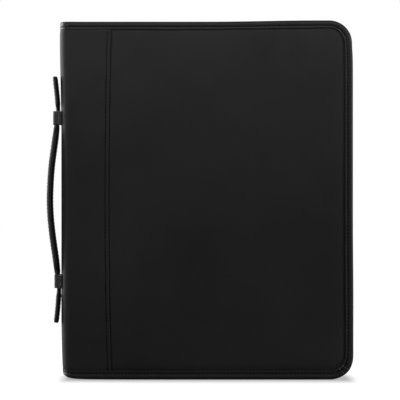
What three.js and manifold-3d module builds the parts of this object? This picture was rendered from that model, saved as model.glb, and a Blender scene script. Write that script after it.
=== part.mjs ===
// Zip-around leather ring binder, closed, standing on its bottom edge, with a strap handle on its spine.
// Millimetres. +X runs from the spine to the free edge, -Y is the front cover, +Z is up.
// The origin is the middle of the bounding box, at its base.
//
// Main form: a spine panel and two covers, each a stack of leather, padding, board and lining, with a folded
// leather binding round its edge. Each cover carries half of the zip-around wall: a leather gusset, a tape
// and a row of teeth. A ring mechanism is riveted to the inside of the spine. The carrying strap slides in
// two keepers.
import * as THREE from "three";
import { mergeVertices } from "three/addons/utils/BufferGeometryUtils.js";
import Module from "manifold-3d";

const wasm = await Module();
wasm.setup();

// Overall size of the closed binder, without its strap
const BINDER_HEIGHT = 343;
const BINDER_WIDTH = 279;
const BINDER_THICKNESS = 54;
const CORNER_RADIUS = 23;
const CLEARANCE = 0.3; // between pieces that touch on the real binder
const LAP = 0.01; // how far pieces of one solid run into each other before they are joined
const CORNER_STEPS = 6; // flats in a quarter turn of a cover's corner
const ROUND_SIDES = 12; // flats round a pin, rivet or barrel
const HINGE_STEPS = 4; // flats in a quarter turn of the spine's edge

// Covers and spine, from the outside in
const OVERLAY_THICKNESS = 1.2; // the leather that wraps the spine and laps both covers
const LEATHER_THICKNESS = 1.2;
const PADDING_THICKNESS = 1.0;
const BOARD_THICKNESS = 1.6;
const LINING_THICKNESS = 0.8;
const SPINE_BOARD_THICKNESS = 2.5;
const HINGE_RADIUS = 6; // outside of the leather where it turns from the spine to a cover
const OVERLAY_REACH = 47.5; // from the spine's outer face to the seam on the cover
const SEAM_BOW = 2.4; // how far the seam draws in towards the spine at half height
const PADDING_INSET = 10;
const BOARD_INSET = 9;
const LINING_INSET = 7;

// Binding folded over every outer edge
const BINDING_THICKNESS = 1.0;
const BINDING_WIDTH = 7.3; // on the outer face
const BINDING_INNER_WIDTH = 5.2; // on the inner face
const BINDING_EDGE_ROUND = 1.6;
const BINDING_ROUND_STEPS = 3;

// Wall between the covers: gusset, zip tape and teeth
const GUSSET_THICKNESS = 1.2;
const GUSSET_REACH = 16; // from the cover's outer face towards the middle
const TAPE_THICKNESS = 0.6;
const TAPE_LAP = 3; // tape hidden behind the gusset
const ZIP_SPINE_GAP = 5.6; // from the spine's outer face to the end of gusset and tape
const BEAD_OUTER = 3.2; // from the middle plane to the far side of the bead
const BEAD_INNER = 1.8;
const TOOTH_TIP = 1.0; // how far a tooth passes the middle plane
const TOOTH_THICKNESS = 2.2;
const TOOTH_PITCH = 4.8;
const TOOTH_ROOT_WIDTH = 2.3;
const TOOTH_TIP_WIDTH = 1.8;
const TOOTH_STEP = 0.1; // how far a tooth's faces lie below its bead's
const TOOTH_ROOT = 0.5; // how deep a tooth's root sits in its bead
const TEETH_START = 27; // from the spine's outer face to the first tooth

// Zip slider and its pull
const SLIDER_LENGTH = 11;
const SLIDER_LEAD = 4; // from the first tooth to the slider's leading end
const SLIDER_FRONT_WIDTH = 10.4;
const SLIDER_REAR_WIDTH = 9.2;
const SLIDER_PLATE = 1.2;
const SLIDER_TOOTH_GAP = 0.35;
const SLIDER_FLANGE = 0.7;
const SLIDER_TAPE_GAP = 0.45;
const SLIDER_CORNER = 1.5;
const SLIDER_POST_LENGTH = 1.8;
const SLIDER_POST_WIDTH = 2.4;
const BAIL_LENGTH = 7;
const BAIL_WIDTH = 1.6;
const BAIL_HEIGHT = 3;
const BAIL_WIRE = 0.9;
const PULL_LENGTH = 21; // from its bar to its tip
const PULL_WIDTH = 7;
const PULL_THICKNESS = 1.2;
const PULL_EYE_WIDTH = 3;
const PULL_BAR = 0.9;
const PULL_EYE_LENGTH = 5.2;
const PULL_EYE_WALL = 0.5;
const PULL_SHOULDER = 1.0; // how much narrower the pull is where its eye begins
const PULL_HOLE_RADIUS = 1.3;
const PULL_HOLE_MARGIN = 3.5;

// Ring mechanism, in heights above the spine's lining
const RING_COUNT = 3;
const RING_SPACING = 108;
const RING_INNER_RADIUS = 12.5;
const RING_WIRE_RADIUS = 1.5;
const RING_CENTRE_HEIGHT = 13.6;
const RING_SIDES = 8;
const RING_STEPS = 11;
const PLATE_LENGTH = 272;
const PLATE_HALF_WIDTH = 11.9;
const PLATE_SIDE_HEIGHT = 3.4;
const PLATE_CROWN = 6.2;
const PLATE_WALL = 0.8;
const PLATE_LIP = 1.7;
const PLATE_FOOT = 0.2;
const PLATE_ARCH_STEPS = 8;
const LEAF_PIVOT_HALF_WIDTH = 10.8;
const LEAF_PIVOT_HEIGHT = 1.9;
const LEAF_THICKNESS = 0.9;
const LEAF_DROOP = 7; // degrees below level with the rings shut
const LEAF_MIDDLE_GAP = 0.8;
const LEAF_LENGTH = 256;
const RING_SLOT_WIDTH = 5.2;
const RING_SLOT_REACH = 5.8;
const RIVET_SPAN = 108; // between the two rivets
const RIVET_SHANK_RADIUS = 1.6;
const RIVET_HEAD_RADIUS = 3.8;
const RIVET_HEAD_HEIGHT = 1.5;
const RIVET_NOTCH_RADIUS = 3.2;
const LEVER_BARREL_RADIUS = 1.5;
const LEVER_PIN_RADIUS = 0.6;
const LEVER_BORE_GAP = 0.15;
const LEVER_PIN_HEIGHT = 1.9;
const LEVER_PIN_INSET = 2.6; // from the end of the cover plate
const LEVER_NOTCH = 5.6; // the arch is cut back this far to make room for the lever
const LEVER_WIDTH = 15;
const LEVER_LENGTH = 19;
const LEVER_THICKNESS = 1.6;
const LEVER_TILT = 65; // degrees above the spine with the rings shut
const LEVER_ROUND = 5;

// Carrying strap and its keepers, in heights from the middle and distances out from the spine
const STRAP_MIDDLE_OFFSET = 12.3;
const STRAP_KEEPER_OFFSET = 4.8;
const STRAP_TAIL_OFFSET = 6.5;
const STRAP_ARCH_POWER = 0.75; // fullness of the arch, 1 for a plain cosine
const STRAP_WIDTH = 20;
const STRAP_THICKNESS = 5.5;
const STRAP_NECK_WIDTH = 14;
const STRAP_NECK_THICKNESS = 3.4;
const STRAP_TAIL_THICKNESS = 4.2;
const STRAP_HALF_LENGTH = 118.8;
const GRIP_HALF_LENGTH = 28; // to the first bend
const LEG_END = 70; // to the bend at the keeper
const TAIL_START = 91.5; // shoulder that stops the strap in its keeper
const TAIL_SHOULDER = 1.5;
const TAIL_ROUND = 7;
const STRAP_TAPER = 6; // from full width to the neck
const STRAP_LEG_END_THICKNESS = 4.2;
const STRAP_STEP = 7; // longest straight piece along the strap's curve
const BEND_GAP = 1.4; // opening on the closing side of a bend
const KEEPER_CENTRE = 78.7;
const KEEPER_HEIGHT = 13.2;
const KEEPER_WALL = 1.6;
const KEEPER_SIDE_GAP = 0.8;
const KEEPER_REACH = 8.6;
const KEEPER_ROUND = 0.8;
const KEEPER_FLANGE = 6.5;
const KEEPER_CHAMFER = 0.48;

// Pockets, card slots and pen loop on the inner faces
const POCKET_THICKNESS = 0.9;
const POCKET_DEPTH = 0.6; // room between a pocket and the lining
const POCKET_SEAM = 4;
const POCKET_SPINE_MARGIN = 49; // clear of the rings
const POCKET_EDGE_MARGIN = 29;
const POCKET_BASE = 12;
const DOCUMENT_POCKET_HEIGHT = 236;
const PAD_POCKET_HEIGHT = 148;
const POCKET_TOP_DIP = 9; // the pocket's mouth dips this far in the middle
const CARD_SLOT_COUNT = 3;
const CARD_SLOT_WIDTH = 100;
const CARD_SLOT_HEIGHT = 62;
const CARD_SLOT_STEP = 19;
const CARD_SLOT_THICKNESS = 0.7;
const CARD_SLOT_BASE = 40;
const CARD_SLOT_MARGIN = 22;
const CARD_THUMB_RADIUS = 9;
const PEN_LOOP_BORE = 10;
const PEN_LOOP_WALL = 1.3;
const PEN_LOOP_LENGTH = 38;
const PEN_LOOP_HEIGHT = 190;
const PEN_LOOP_MARGIN = 19;
const PEN_LOOP_FOOT = 2;
const PEN_LOOP_FOOT_ANGLE = 50; // from straight down to where the loop leaves its foot

// Places that follow from the sizes above
const STRAP_REACH = STRAP_MIDDLE_OFFSET + STRAP_THICKNESS / 2;
const SPINE_X = (STRAP_REACH - BINDER_WIDTH) / 2;
const EDGE_X = SPINE_X + BINDER_WIDTH;
const HALF_THICKNESS = BINDER_THICKNESS / 2;
const MIDDLE_Z = BINDER_HEIGHT / 2;
const COVER_START_X = SPINE_X + HINGE_RADIUS + CLEARANCE;
const PANEL_DEPTH = OVERLAY_THICKNESS;
const PANEL_INSET = BINDING_THICKNESS + 2 * CLEARANCE;
const PADDING_DEPTH = PANEL_DEPTH + LEATHER_THICKNESS;
const BOARD_DEPTH = PADDING_DEPTH + PADDING_THICKNESS;
const LINING_DEPTH = BOARD_DEPTH + BOARD_THICKNESS;
const INNER_DEPTH = LINING_DEPTH + LINING_THICKNESS;
const SPINE_LINING_DEPTH = OVERLAY_THICKNESS + SPINE_BOARD_THICKNESS;
const SPINE_INNER_DEPTH = SPINE_LINING_DEPTH + LINING_THICKNESS;
const SPINE_INNER_X = SPINE_X + SPINE_INNER_DEPTH;
const SPINE_BINDING_DEPTH = SPINE_INNER_DEPTH + BINDING_THICKNESS;
const POCKET_FACE_DEPTH = INNER_DEPTH + POCKET_DEPTH + POCKET_THICKNESS;
const GUSSET_INSET = BINDING_INNER_WIDTH + CLEARANCE;
const TAPE_INSET = GUSSET_INSET + GUSSET_THICKNESS + CLEARANCE;
const TOOTH_INSET = TAPE_INSET + TAPE_THICKNESS / 2;
const RING_RADIUS = RING_INNER_RADIUS + RING_WIRE_RADIUS;

const FRONT = -1;
const BACK = 1;
const SIDES = [
  ["front", FRONT],
  ["back", BACK],
];

const materials = {
  leather: new THREE.MeshStandardMaterial({ color: 0x1c1c1c, roughness: 0.5, metalness: 0 }),
  binding: new THREE.MeshStandardMaterial({ color: 0x181818, roughness: 0.45, metalness: 0 }),
  strap: new THREE.MeshStandardMaterial({ color: 0x1a1a1a, roughness: 0.45, metalness: 0 }),
  board: new THREE.MeshStandardMaterial({ color: 0x8f8678, roughness: 0.9, metalness: 0 }),
  padding: new THREE.MeshStandardMaterial({ color: 0x3a3a3a, roughness: 0.95, metalness: 0 }),
  lining: new THREE.MeshStandardMaterial({ color: 0x202022, roughness: 0.85, metalness: 0 }),
  tape: new THREE.MeshStandardMaterial({ color: 0x141414, roughness: 0.9, metalness: 0 }),
  zipMetal: new THREE.MeshStandardMaterial({ color: 0x6e6e70, roughness: 0.35, metalness: 1 }),
  chrome: new THREE.MeshStandardMaterial({ color: 0xd8d8da, roughness: 0.15, metalness: 1 }),
};

const binder = new THREE.Group();

function add(name, shape, material) {
  const geometry = shape.isBufferGeometry ? shape : geometryOf(shape);
  const mesh = new THREE.Mesh(geometry, material);
  mesh.name = name;
  binder.add(mesh);
}

// A closed three.js geometry as a solid that can be joined and cut.
function solidOf(geometry) {
  const bare = geometry.index ? geometry.toNonIndexed() : geometry.clone();
  bare.deleteAttribute("normal");
  bare.deleteAttribute("uv");
  const merged = mergeVertices(bare, 1e-4);
  const mesh = { numProp: 3, vertProperties: merged.attributes.position.array, triVerts: merged.index.array };
  return new wasm.Manifold(new wasm.Mesh(mesh));
}

function geometryOf(solid) {
  const mesh = solid.getMesh();
  const places = new Float32Array(mesh.numVert * 3);
  for (let i = 0; i < mesh.numVert; i++) {
    places.set(mesh.vertProperties.subarray(i * mesh.numProp, i * mesh.numProp + 3), i * 3);
  }
  const geometry = new THREE.BufferGeometry();
  geometry.setAttribute("position", new THREE.BufferAttribute(places, 3));
  geometry.setIndex(new THREE.BufferAttribute(mesh.triVerts, 1));
  return geometry;
}

const joined = (...shapes) => wasm.Manifold.union(shapes.map(solidOf));

// An [inset, depth] point of one side, as [inset, y].
const onLayer = (side, [inset, depth]) => [inset, side * (HALF_THICKNESS - depth)];

// Lowest and highest Y of a layer of one side, between two depths from that side's outer face.
function layerSpan(side, depth, deeper) {
  const ends = [side * (HALF_THICKNESS - depth), side * (HALF_THICKNESS - deeper)];
  return [Math.min(...ends), Math.max(...ends)];
}

// A shape drawn in X and Z, as thick as the layer from yMin to yMax.
function slab(shape, [yMin, yMax], curveSegments = CORNER_STEPS) {
  const options = { depth: yMax - yMin, bevelEnabled: false, curveSegments };
  const geometry = new THREE.ExtrudeGeometry(shape, options);
  return geometry.rotateX(Math.PI / 2).translate(0, yMax, 0);
}

// A shape drawn in X and Y, from zMin to zMax.
function column(shape, zMin, zMax, curveSegments = CORNER_STEPS) {
  const options = { depth: zMax - zMin, bevelEnabled: false, curveSegments };
  return new THREE.ExtrudeGeometry(shape, options).translate(0, 0, zMin);
}

function box(xMin, xMax, yMin, yMax, zMin, zMax) {
  const geometry = new THREE.BoxGeometry(xMax - xMin, yMax - yMin, zMax - zMin);
  return geometry.translate((xMin + xMax) / 2, (yMin + yMax) / 2, (zMin + zMax) / 2);
}

function polygon(points) {
  return new THREE.Shape(points.map(([x, y]) => new THREE.Vector2(x, y)));
}

// The cover's outline in X and Z, drawn in from its edges, square at the spine and round at the free edge.
function coverShape(inset, startX) {
  const radius = CORNER_RADIUS - inset;
  const cornerX = EDGE_X - CORNER_RADIUS;
  const shape = new THREE.Shape();
  shape.moveTo(startX, inset);
  shape.lineTo(cornerX, inset);
  shape.absarc(cornerX, CORNER_RADIUS, radius, -Math.PI / 2, 0, false);
  shape.absarc(cornerX, BINDER_HEIGHT - CORNER_RADIUS, radius, 0, Math.PI / 2, false);
  shape.lineTo(startX, BINDER_HEIGHT - inset);
  shape.closePath();
  return shape;
}

// Stations round the cover's three outer edges: a point on the edge and the way inwards.
function edgeStations(startX) {
  const cornerX = EDGE_X - CORNER_RADIUS;
  const stations = [{ x: startX, z: 0, inX: 0, inZ: 1 }];
  for (const [centreZ, firstAngle] of [[CORNER_RADIUS, -90], [BINDER_HEIGHT - CORNER_RADIUS, 0]]) {
    for (let step = 0; step <= CORNER_STEPS; step++) {
      const angle = THREE.MathUtils.degToRad(firstAngle + (90 * step) / CORNER_STEPS);
      const outX = Math.cos(angle);
      const outZ = Math.sin(angle);
      const x = cornerX + CORNER_RADIUS * outX;
      stations.push({ x, z: centreZ + CORNER_RADIUS * outZ, inX: -outX, inZ: -outZ });
    }
  }
  stations.push({ x: startX, z: BINDER_HEIGHT, inX: 0, inZ: -1 });
  return stations;
}

// A closed body through a list of rings, each the same profile at its own place.
function loft(rings, profile) {
  const flat = profile.map(([x, y]) => new THREE.Vector2(x, y));
  if (THREE.ShapeUtils.isClockWise(flat)) {
    flat.reverse();
    rings = rings.map((ring) => [...ring].reverse());
  }
  const faces = [];
  for (let r = 0; r + 1 < rings.length; r++) {
    for (let i = 0; i < flat.length; i++) {
      const next = (i + 1) % flat.length;
      faces.push([rings[r][i], rings[r][next], rings[r + 1][next]]);
      faces.push([rings[r][i], rings[r + 1][next], rings[r + 1][i]]);
    }
  }
  const first = rings[0];
  const last = rings[rings.length - 1];
  for (const [a, b, c] of THREE.ShapeUtils.triangulateShape(flat, [])) {
    faces.push([first[c], first[b], first[a]]);
    faces.push([last[a], last[b], last[c]]);
  }
  return facingOut(faces);
}

// Triangles as a geometry, all turned over if they face inwards.
function facingOut(faces) {
  const corner = ([x, y, z]) => new THREE.Vector3(x, y, z);
  const volume = faces.reduce((sum, [a, b, c]) => sum + corner(a).dot(corner(b).cross(corner(c))), 0);
  const turned = volume < 0 ? faces.map(([a, b, c]) => [a, c, b]) : faces;
  const geometry = new THREE.BufferGeometry();
  geometry.setAttribute("position", new THREE.Float32BufferAttribute(turned.flat(2), 3));
  return geometry;
}

// Sweeps a profile of [inset, y] points round the cover's three outer edges.
function sweepEdge(profile, startX) {
  const rings = edgeStations(startX).map(({ x, z, inX, inZ }) =>
    profile.map(([inset, y]) => [x + inset * inX, y, z + inset * inZ]),
  );
  return loft(rings, profile);
}

// Folded binding in section: outer flange, rounded edge, inner flange, as [inset, depth] points.
function bindingSection() {
  const outer = [];
  const rounds = [
    [BINDING_EDGE_ROUND, 270],
    [INNER_DEPTH - BINDING_EDGE_ROUND, 180],
  ];
  for (const [centreDepth, firstAngle] of rounds) {
    for (let step = 0; step <= BINDING_ROUND_STEPS; step++) {
      const angle = THREE.MathUtils.degToRad(firstAngle - (90 * step) / BINDING_ROUND_STEPS);
      const inset = BINDING_EDGE_ROUND * (1 + Math.cos(angle));
      outer.push([inset, centreDepth + BINDING_EDGE_ROUND * Math.sin(angle)]);
    }
  }
  return [
    [BINDING_WIDTH, 0],
    ...outer,
    [BINDING_INNER_WIDTH, INNER_DEPTH],
    [BINDING_INNER_WIDTH, INNER_DEPTH - BINDING_THICKNESS],
    [BINDING_THICKNESS + CLEARANCE, INNER_DEPTH - BINDING_THICKNESS],
    [BINDING_THICKNESS + CLEARANCE, BINDING_THICKNESS],
    [BINDING_WIDTH, BINDING_THICKNESS],
  ];
}

// One cover: leather, padding, board, lining, the spine's overlay and the binding round the edge.
function buildCover(name, side) {
  const innerStart = COVER_START_X + CLEARANCE;
  const layer = (inset, depth, thickness, startX) =>
    slab(coverShape(inset, startX), layerSpan(side, depth, depth + thickness));
  const leather = layer(PANEL_INSET, PANEL_DEPTH, LEATHER_THICKNESS, COVER_START_X);
  const padding = layer(PADDING_INSET, PADDING_DEPTH, PADDING_THICKNESS, innerStart);
  const board = layer(BOARD_INSET, BOARD_DEPTH, BOARD_THICKNESS, innerStart);
  const lining = layer(LINING_INSET, LINING_DEPTH, LINING_THICKNESS, COVER_START_X);
  const binding = bindingSection().map((point) => onLayer(side, point));
  add(`${name}_leather`, leather, materials.leather);
  add(`${name}_padding`, padding, materials.padding);
  add(`${name}_board`, board, materials.board);
  add(`${name}_lining`, lining, materials.lining);
  add(`${name}_spine_flap`, spineFlap(side), materials.leather);
  add(`${name}_binding`, sweepEdge(binding, COVER_START_X), materials.binding);
}

// One side's half of the wall between the covers: gusset, tape and teeth.
function buildZipWall(name, side) {
  const flangeTop = PADDING_DEPTH + CLEARANCE;
  const flangeBottom = INNER_DEPTH - BINDING_THICKNESS - CLEARANCE;
  const gusset = [
    [PANEL_INSET, flangeTop],
    [GUSSET_INSET + GUSSET_THICKNESS, flangeTop],
    [GUSSET_INSET + GUSSET_THICKNESS, GUSSET_REACH],
    [GUSSET_INSET, GUSSET_REACH],
    [GUSSET_INSET, flangeBottom],
    [PANEL_INSET, flangeBottom],
  ].map((point) => onLayer(side, point));
  const tape = [
    [TAPE_INSET, GUSSET_REACH - TAPE_LAP],
    [TAPE_INSET + TAPE_THICKNESS, GUSSET_REACH - TAPE_LAP],
    [TAPE_INSET + TAPE_THICKNESS, HALF_THICKNESS - BEAD_OUTER - CLEARANCE],
    [TAPE_INSET, HALF_THICKNESS - BEAD_OUTER - CLEARANCE],
  ].map((point) => onLayer(side, point));
  const wallStart = SPINE_X + ZIP_SPINE_GAP;
  add(`${name}_gusset`, sweepEdge(gusset, Math.max(wallStart, COVER_START_X)), materials.leather);
  add(`${name}_zip_tape`, sweepEdge(tape, wallStart), materials.tape);
  add(`${name}_zip_teeth`, zipTeeth(side), materials.zipMetal);
}

// The part of the spine's leather that laps a cover, ending in the seam.
function spineFlap(side) {
  const inset = BINDING_WIDTH + CLEARANCE;
  const seamX = SPINE_X + OVERLAY_REACH;
  const shape = new THREE.Shape();
  shape.moveTo(COVER_START_X, inset);
  shape.lineTo(seamX, inset);
  shape.quadraticCurveTo(seamX - 2 * SEAM_BOW, MIDDLE_Z, seamX, BINDER_HEIGHT - inset);
  shape.lineTo(COVER_START_X, BINDER_HEIGHT - inset);
  shape.closePath();
  return slab(shape, layerSpan(side, 0, OVERLAY_THICKNESS));
}

// Where a distance along the zip lies: a point at the teeth's inset, and the way along.
function zipPlace(distance) {
  const radius = CORNER_RADIUS - TOOTH_INSET;
  const flat = BINDER_WIDTH - TEETH_START - CORNER_RADIUS;
  const turn = (Math.PI / 2) * radius;
  const upright = BINDER_HEIGHT - 2 * CORNER_RADIUS;
  const cornerX = EDGE_X - CORNER_RADIUS;
  const startX = SPINE_X + TEETH_START;
  if (distance < flat) {
    return { x: startX + distance, z: TOOTH_INSET, angle: 0 };
  }
  if (distance < flat + turn) {
    const angle = (distance - flat) / radius;
    return { x: cornerX + radius * Math.sin(angle), z: CORNER_RADIUS - radius * Math.cos(angle), angle };
  }
  if (distance < flat + turn + upright) {
    return { x: EDGE_X - TOOTH_INSET, z: CORNER_RADIUS + distance - flat - turn, angle: Math.PI / 2 };
  }
  if (distance < flat + 2 * turn + upright) {
    const angle = (distance - flat - turn - upright) / radius;
    const z = BINDER_HEIGHT - CORNER_RADIUS + radius * Math.sin(angle);
    return { x: cornerX + radius * Math.cos(angle), z, angle: angle + Math.PI / 2 };
  }
  const along = distance - flat - 2 * turn - upright;
  return { x: cornerX - along, z: BINDER_HEIGHT - TOOTH_INSET, angle: Math.PI };
}

// A bead round the tape's edge with teeth that pass the middle plane and sit between those of the other side.
function zipTeeth(side) {
  const half = TOOTH_THICKNESS / 2;
  const bead = [
    [TOOTH_INSET - half, side * BEAD_OUTER],
    [TOOTH_INSET + half, side * BEAD_OUTER],
    [TOOTH_INSET + half, side * BEAD_INNER],
    [TOOTH_INSET - half, side * BEAD_INNER],
  ];
  const strip = sweepEdge(bead, SPINE_X + TEETH_START);
  const radius = CORNER_RADIUS - TOOTH_INSET;
  const flats = 2 * (BINDER_WIDTH - TEETH_START - CORNER_RADIUS) + BINDER_HEIGHT - 2 * CORNER_RADIUS;
  const length = flats + Math.PI * radius;
  const count = Math.floor(length / TOOTH_PITCH) - 1;
  const firstFront = (length - (count - 0.5) * TOOTH_PITCH) / 2;
  const firstTooth = side === FRONT ? firstFront : firstFront + TOOTH_PITCH / 2;
  const teeth = [];
  for (let i = 0; i < count; i++) {
    const { x, z, angle } = zipPlace(firstTooth + i * TOOTH_PITCH);
    teeth.push(zipTooth(side).rotateY(-angle).translate(x, 0, z));
  }
  return joined(strip, ...teeth);
}

// One tooth, tapered towards its tip, pointing across the middle plane.
function zipTooth(side) {
  const half = TOOTH_THICKNESS / 2 - TOOTH_STEP;
  const rootY = side * (BEAD_INNER + TOOTH_ROOT);
  const tipY = -side * TOOTH_TIP;
  const shape = polygon([
    [-TOOTH_ROOT_WIDTH / 2, rootY],
    [-TOOTH_TIP_WIDTH / 2, tipY],
    [TOOTH_TIP_WIDTH / 2, tipY],
    [TOOTH_ROOT_WIDTH / 2, rootY],
  ]);
  return column(shape, -half, half);
}

// A leather tab over each end of a tape, closing the wall between the spine and the teeth.
function endTab(side, top) {
  const inset = GUSSET_INSET;
  const reach = TEETH_START - SLIDER_LEAD - CLEARANCE;
  const ends = [side * (HALF_THICKNESS - GUSSET_REACH - CLEARANCE), side * CLEARANCE];
  const zMin = top ? BINDER_HEIGHT - inset - GUSSET_THICKNESS : inset;
  const shape = polygon([
    [SPINE_X + ZIP_SPINE_GAP, ends[0]],
    [SPINE_X + reach, ends[0]],
    [SPINE_X + reach, ends[1] + (side * GUSSET_THICKNESS)],
    [SPINE_X + reach - GUSSET_THICKNESS, ends[1]],
    [SPINE_X + ZIP_SPINE_GAP, ends[1]],
  ]);
  return column(shape, zMin, zMin + GUSSET_THICKNESS);
}

// Height above the middle of the teeth, outwards from the binder's top edge, as Z.
const aboveTeeth = (height) => BINDER_HEIGHT - TOOTH_INSET + height;

const SLIDER_INNER_HEIGHT = TOOTH_THICKNESS / 2 + SLIDER_TOOTH_GAP;
const SLIDER_OUTER_HEIGHT = SLIDER_INNER_HEIGHT + SLIDER_PLATE;
const SLIDER_START_X = SPINE_X + TEETH_START - SLIDER_LEAD;
const PULL_BAR_X = SLIDER_START_X + SLIDER_LENGTH / 2;
const PULL_BAR_HEIGHT = SLIDER_OUTER_HEIGHT + (BAIL_HEIGHT - BAIL_WIRE) / 2;

// Slider at the closed end of the zip: two plates, their turned-in sides, the divider and the bail.
function zipSlider() {
  const halfAt = [SLIDER_FRONT_WIDTH / 2, SLIDER_REAR_WIDTH / 2];
  const endX = SLIDER_START_X + SLIDER_LENGTH;
  const outline = polygon([
    [SLIDER_START_X, -halfAt[0] + SLIDER_CORNER],
    [SLIDER_START_X + SLIDER_CORNER, -halfAt[0]],
    [endX - SLIDER_CORNER, -halfAt[1]],
    [endX, -halfAt[1] + SLIDER_CORNER],
    [endX, halfAt[1] - SLIDER_CORNER],
    [endX - SLIDER_CORNER, halfAt[1]],
    [SLIDER_START_X + SLIDER_CORNER, halfAt[0]],
    [SLIDER_START_X, halfAt[0] - SLIDER_CORNER],
  ]);
  const slot = TAPE_THICKNESS / 2 + SLIDER_TAPE_GAP;
  const pieces = [];
  for (const up of [-1, 1]) {
    const between = (a, b) => [aboveTeeth(up * a), aboveTeeth(up * b)].sort((low, high) => low - high);
    pieces.push(column(outline, ...between(SLIDER_INNER_HEIGHT - LAP, SLIDER_OUTER_HEIGHT)));
    for (const side of [FRONT, BACK]) {
      const rim = polygon([
        [SLIDER_START_X + SLIDER_CORNER, side * halfAt[0]],
        [SLIDER_START_X + SLIDER_CORNER, side * (halfAt[0] - SLIDER_FLANGE)],
        [endX - SLIDER_CORNER, side * (halfAt[1] - SLIDER_FLANGE)],
        [endX - SLIDER_CORNER, side * halfAt[1]],
      ]);
      pieces.push(column(rim, ...between(slot, SLIDER_INNER_HEIGHT + LAP)));
    }
  }
  const divider = polygon([
    [SLIDER_START_X, -SLIDER_POST_WIDTH / 2],
    [SLIDER_START_X + SLIDER_POST_LENGTH, 0],
    [SLIDER_START_X, SLIDER_POST_WIDTH / 2],
  ]);
  pieces.push(column(divider, aboveTeeth(-SLIDER_OUTER_HEIGHT), aboveTeeth(SLIDER_OUTER_HEIGHT)));
  return joined(...pieces, bail());
}

// A low wire arch that the pull hangs on.
function bail() {
  const half = BAIL_LENGTH / 2;
  const arch = new THREE.Shape();
  arch.moveTo(-half, -LAP);
  arch.lineTo(-half, BAIL_HEIGHT - BAIL_WIRE);
  arch.lineTo(-half + BAIL_WIRE, BAIL_HEIGHT);
  arch.lineTo(half - BAIL_WIRE, BAIL_HEIGHT);
  arch.lineTo(half, BAIL_HEIGHT - BAIL_WIRE);
  arch.lineTo(half, -LAP);
  arch.lineTo(half - BAIL_WIRE, -LAP);
  arch.lineTo(half - BAIL_WIRE, BAIL_HEIGHT - BAIL_WIRE);
  arch.lineTo(-half + BAIL_WIRE, BAIL_HEIGHT - BAIL_WIRE);
  arch.lineTo(-half + BAIL_WIRE, -LAP);
  arch.closePath();
  const body = slab(arch, [-BAIL_WIDTH / 2, BAIL_WIDTH / 2]);
  return body.translate(PULL_BAR_X, 0, aboveTeeth(SLIDER_OUTER_HEIGHT));
}

// The pull, lying along the zip with its eye round the bail.
function zipPull() {
  const half = PULL_WIDTH / 2;
  const eyeHalf = PULL_EYE_WIDTH / 2;
  const neckX = PULL_EYE_LENGTH + 2 * PULL_BAR;
  const plate = new THREE.Shape();
  plate.moveTo(-PULL_BAR / 2, -eyeHalf);
  plate.lineTo(neckX, -half + PULL_SHOULDER);
  plate.lineTo(PULL_LENGTH - half, -half);
  plate.absarc(PULL_LENGTH - half, 0, half, -Math.PI / 2, Math.PI / 2, false);
  plate.lineTo(neckX, half - PULL_SHOULDER);
  plate.lineTo(-PULL_BAR / 2, eyeHalf);
  plate.closePath();
  const eye = new THREE.Path();
  eye.moveTo(PULL_BAR / 2, -eyeHalf + PULL_EYE_WALL);
  eye.lineTo(PULL_BAR / 2, eyeHalf - PULL_EYE_WALL);
  eye.lineTo(PULL_BAR / 2 + PULL_EYE_LENGTH, eyeHalf - PULL_EYE_WALL);
  eye.lineTo(PULL_BAR / 2 + PULL_EYE_LENGTH, -eyeHalf + PULL_EYE_WALL);
  eye.closePath();
  const hole = new THREE.Path();
  hole.absarc(PULL_LENGTH - PULL_HOLE_MARGIN, 0, PULL_HOLE_RADIUS, 0, 2 * Math.PI, true);
  plate.holes.push(eye, hole);
  const height = aboveTeeth(PULL_BAR_HEIGHT);
  const body = column(plate, height - PULL_THICKNESS / 2, height + PULL_THICKNESS / 2);
  return body.translate(PULL_BAR_X, 0, 0);
}

// A sewn pocket on one cover's lining, open along its dipped top edge.
function pocket(side, height) {
  const xMin = SPINE_X + POCKET_SPINE_MARGIN;
  const xMax = EDGE_X - POCKET_EDGE_MARGIN;
  const top = POCKET_BASE + height;
  const face = new THREE.Shape();
  face.moveTo(xMin, POCKET_BASE);
  face.lineTo(xMax, POCKET_BASE);
  face.lineTo(xMax, top);
  face.quadraticCurveTo((xMin + xMax) / 2, top - 2 * POCKET_TOP_DIP, xMin, top);
  face.closePath();
  const seam = polygon([
    [xMin, POCKET_BASE],
    [xMax, POCKET_BASE],
    [xMax, top],
    [xMax - POCKET_SEAM, top - POCKET_SEAM],
    [xMax - POCKET_SEAM, POCKET_BASE + POCKET_SEAM],
    [xMin + POCKET_SEAM, POCKET_BASE + POCKET_SEAM],
    [xMin + POCKET_SEAM, top - POCKET_SEAM],
    [xMin, top],
  ]);
  const panel = slab(face, layerSpan(side, INNER_DEPTH + POCKET_DEPTH, POCKET_FACE_DEPTH));
  const rim = slab(seam, layerSpan(side, INNER_DEPTH, INNER_DEPTH + POCKET_DEPTH + LAP));
  return joined(panel, rim);
}

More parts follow.
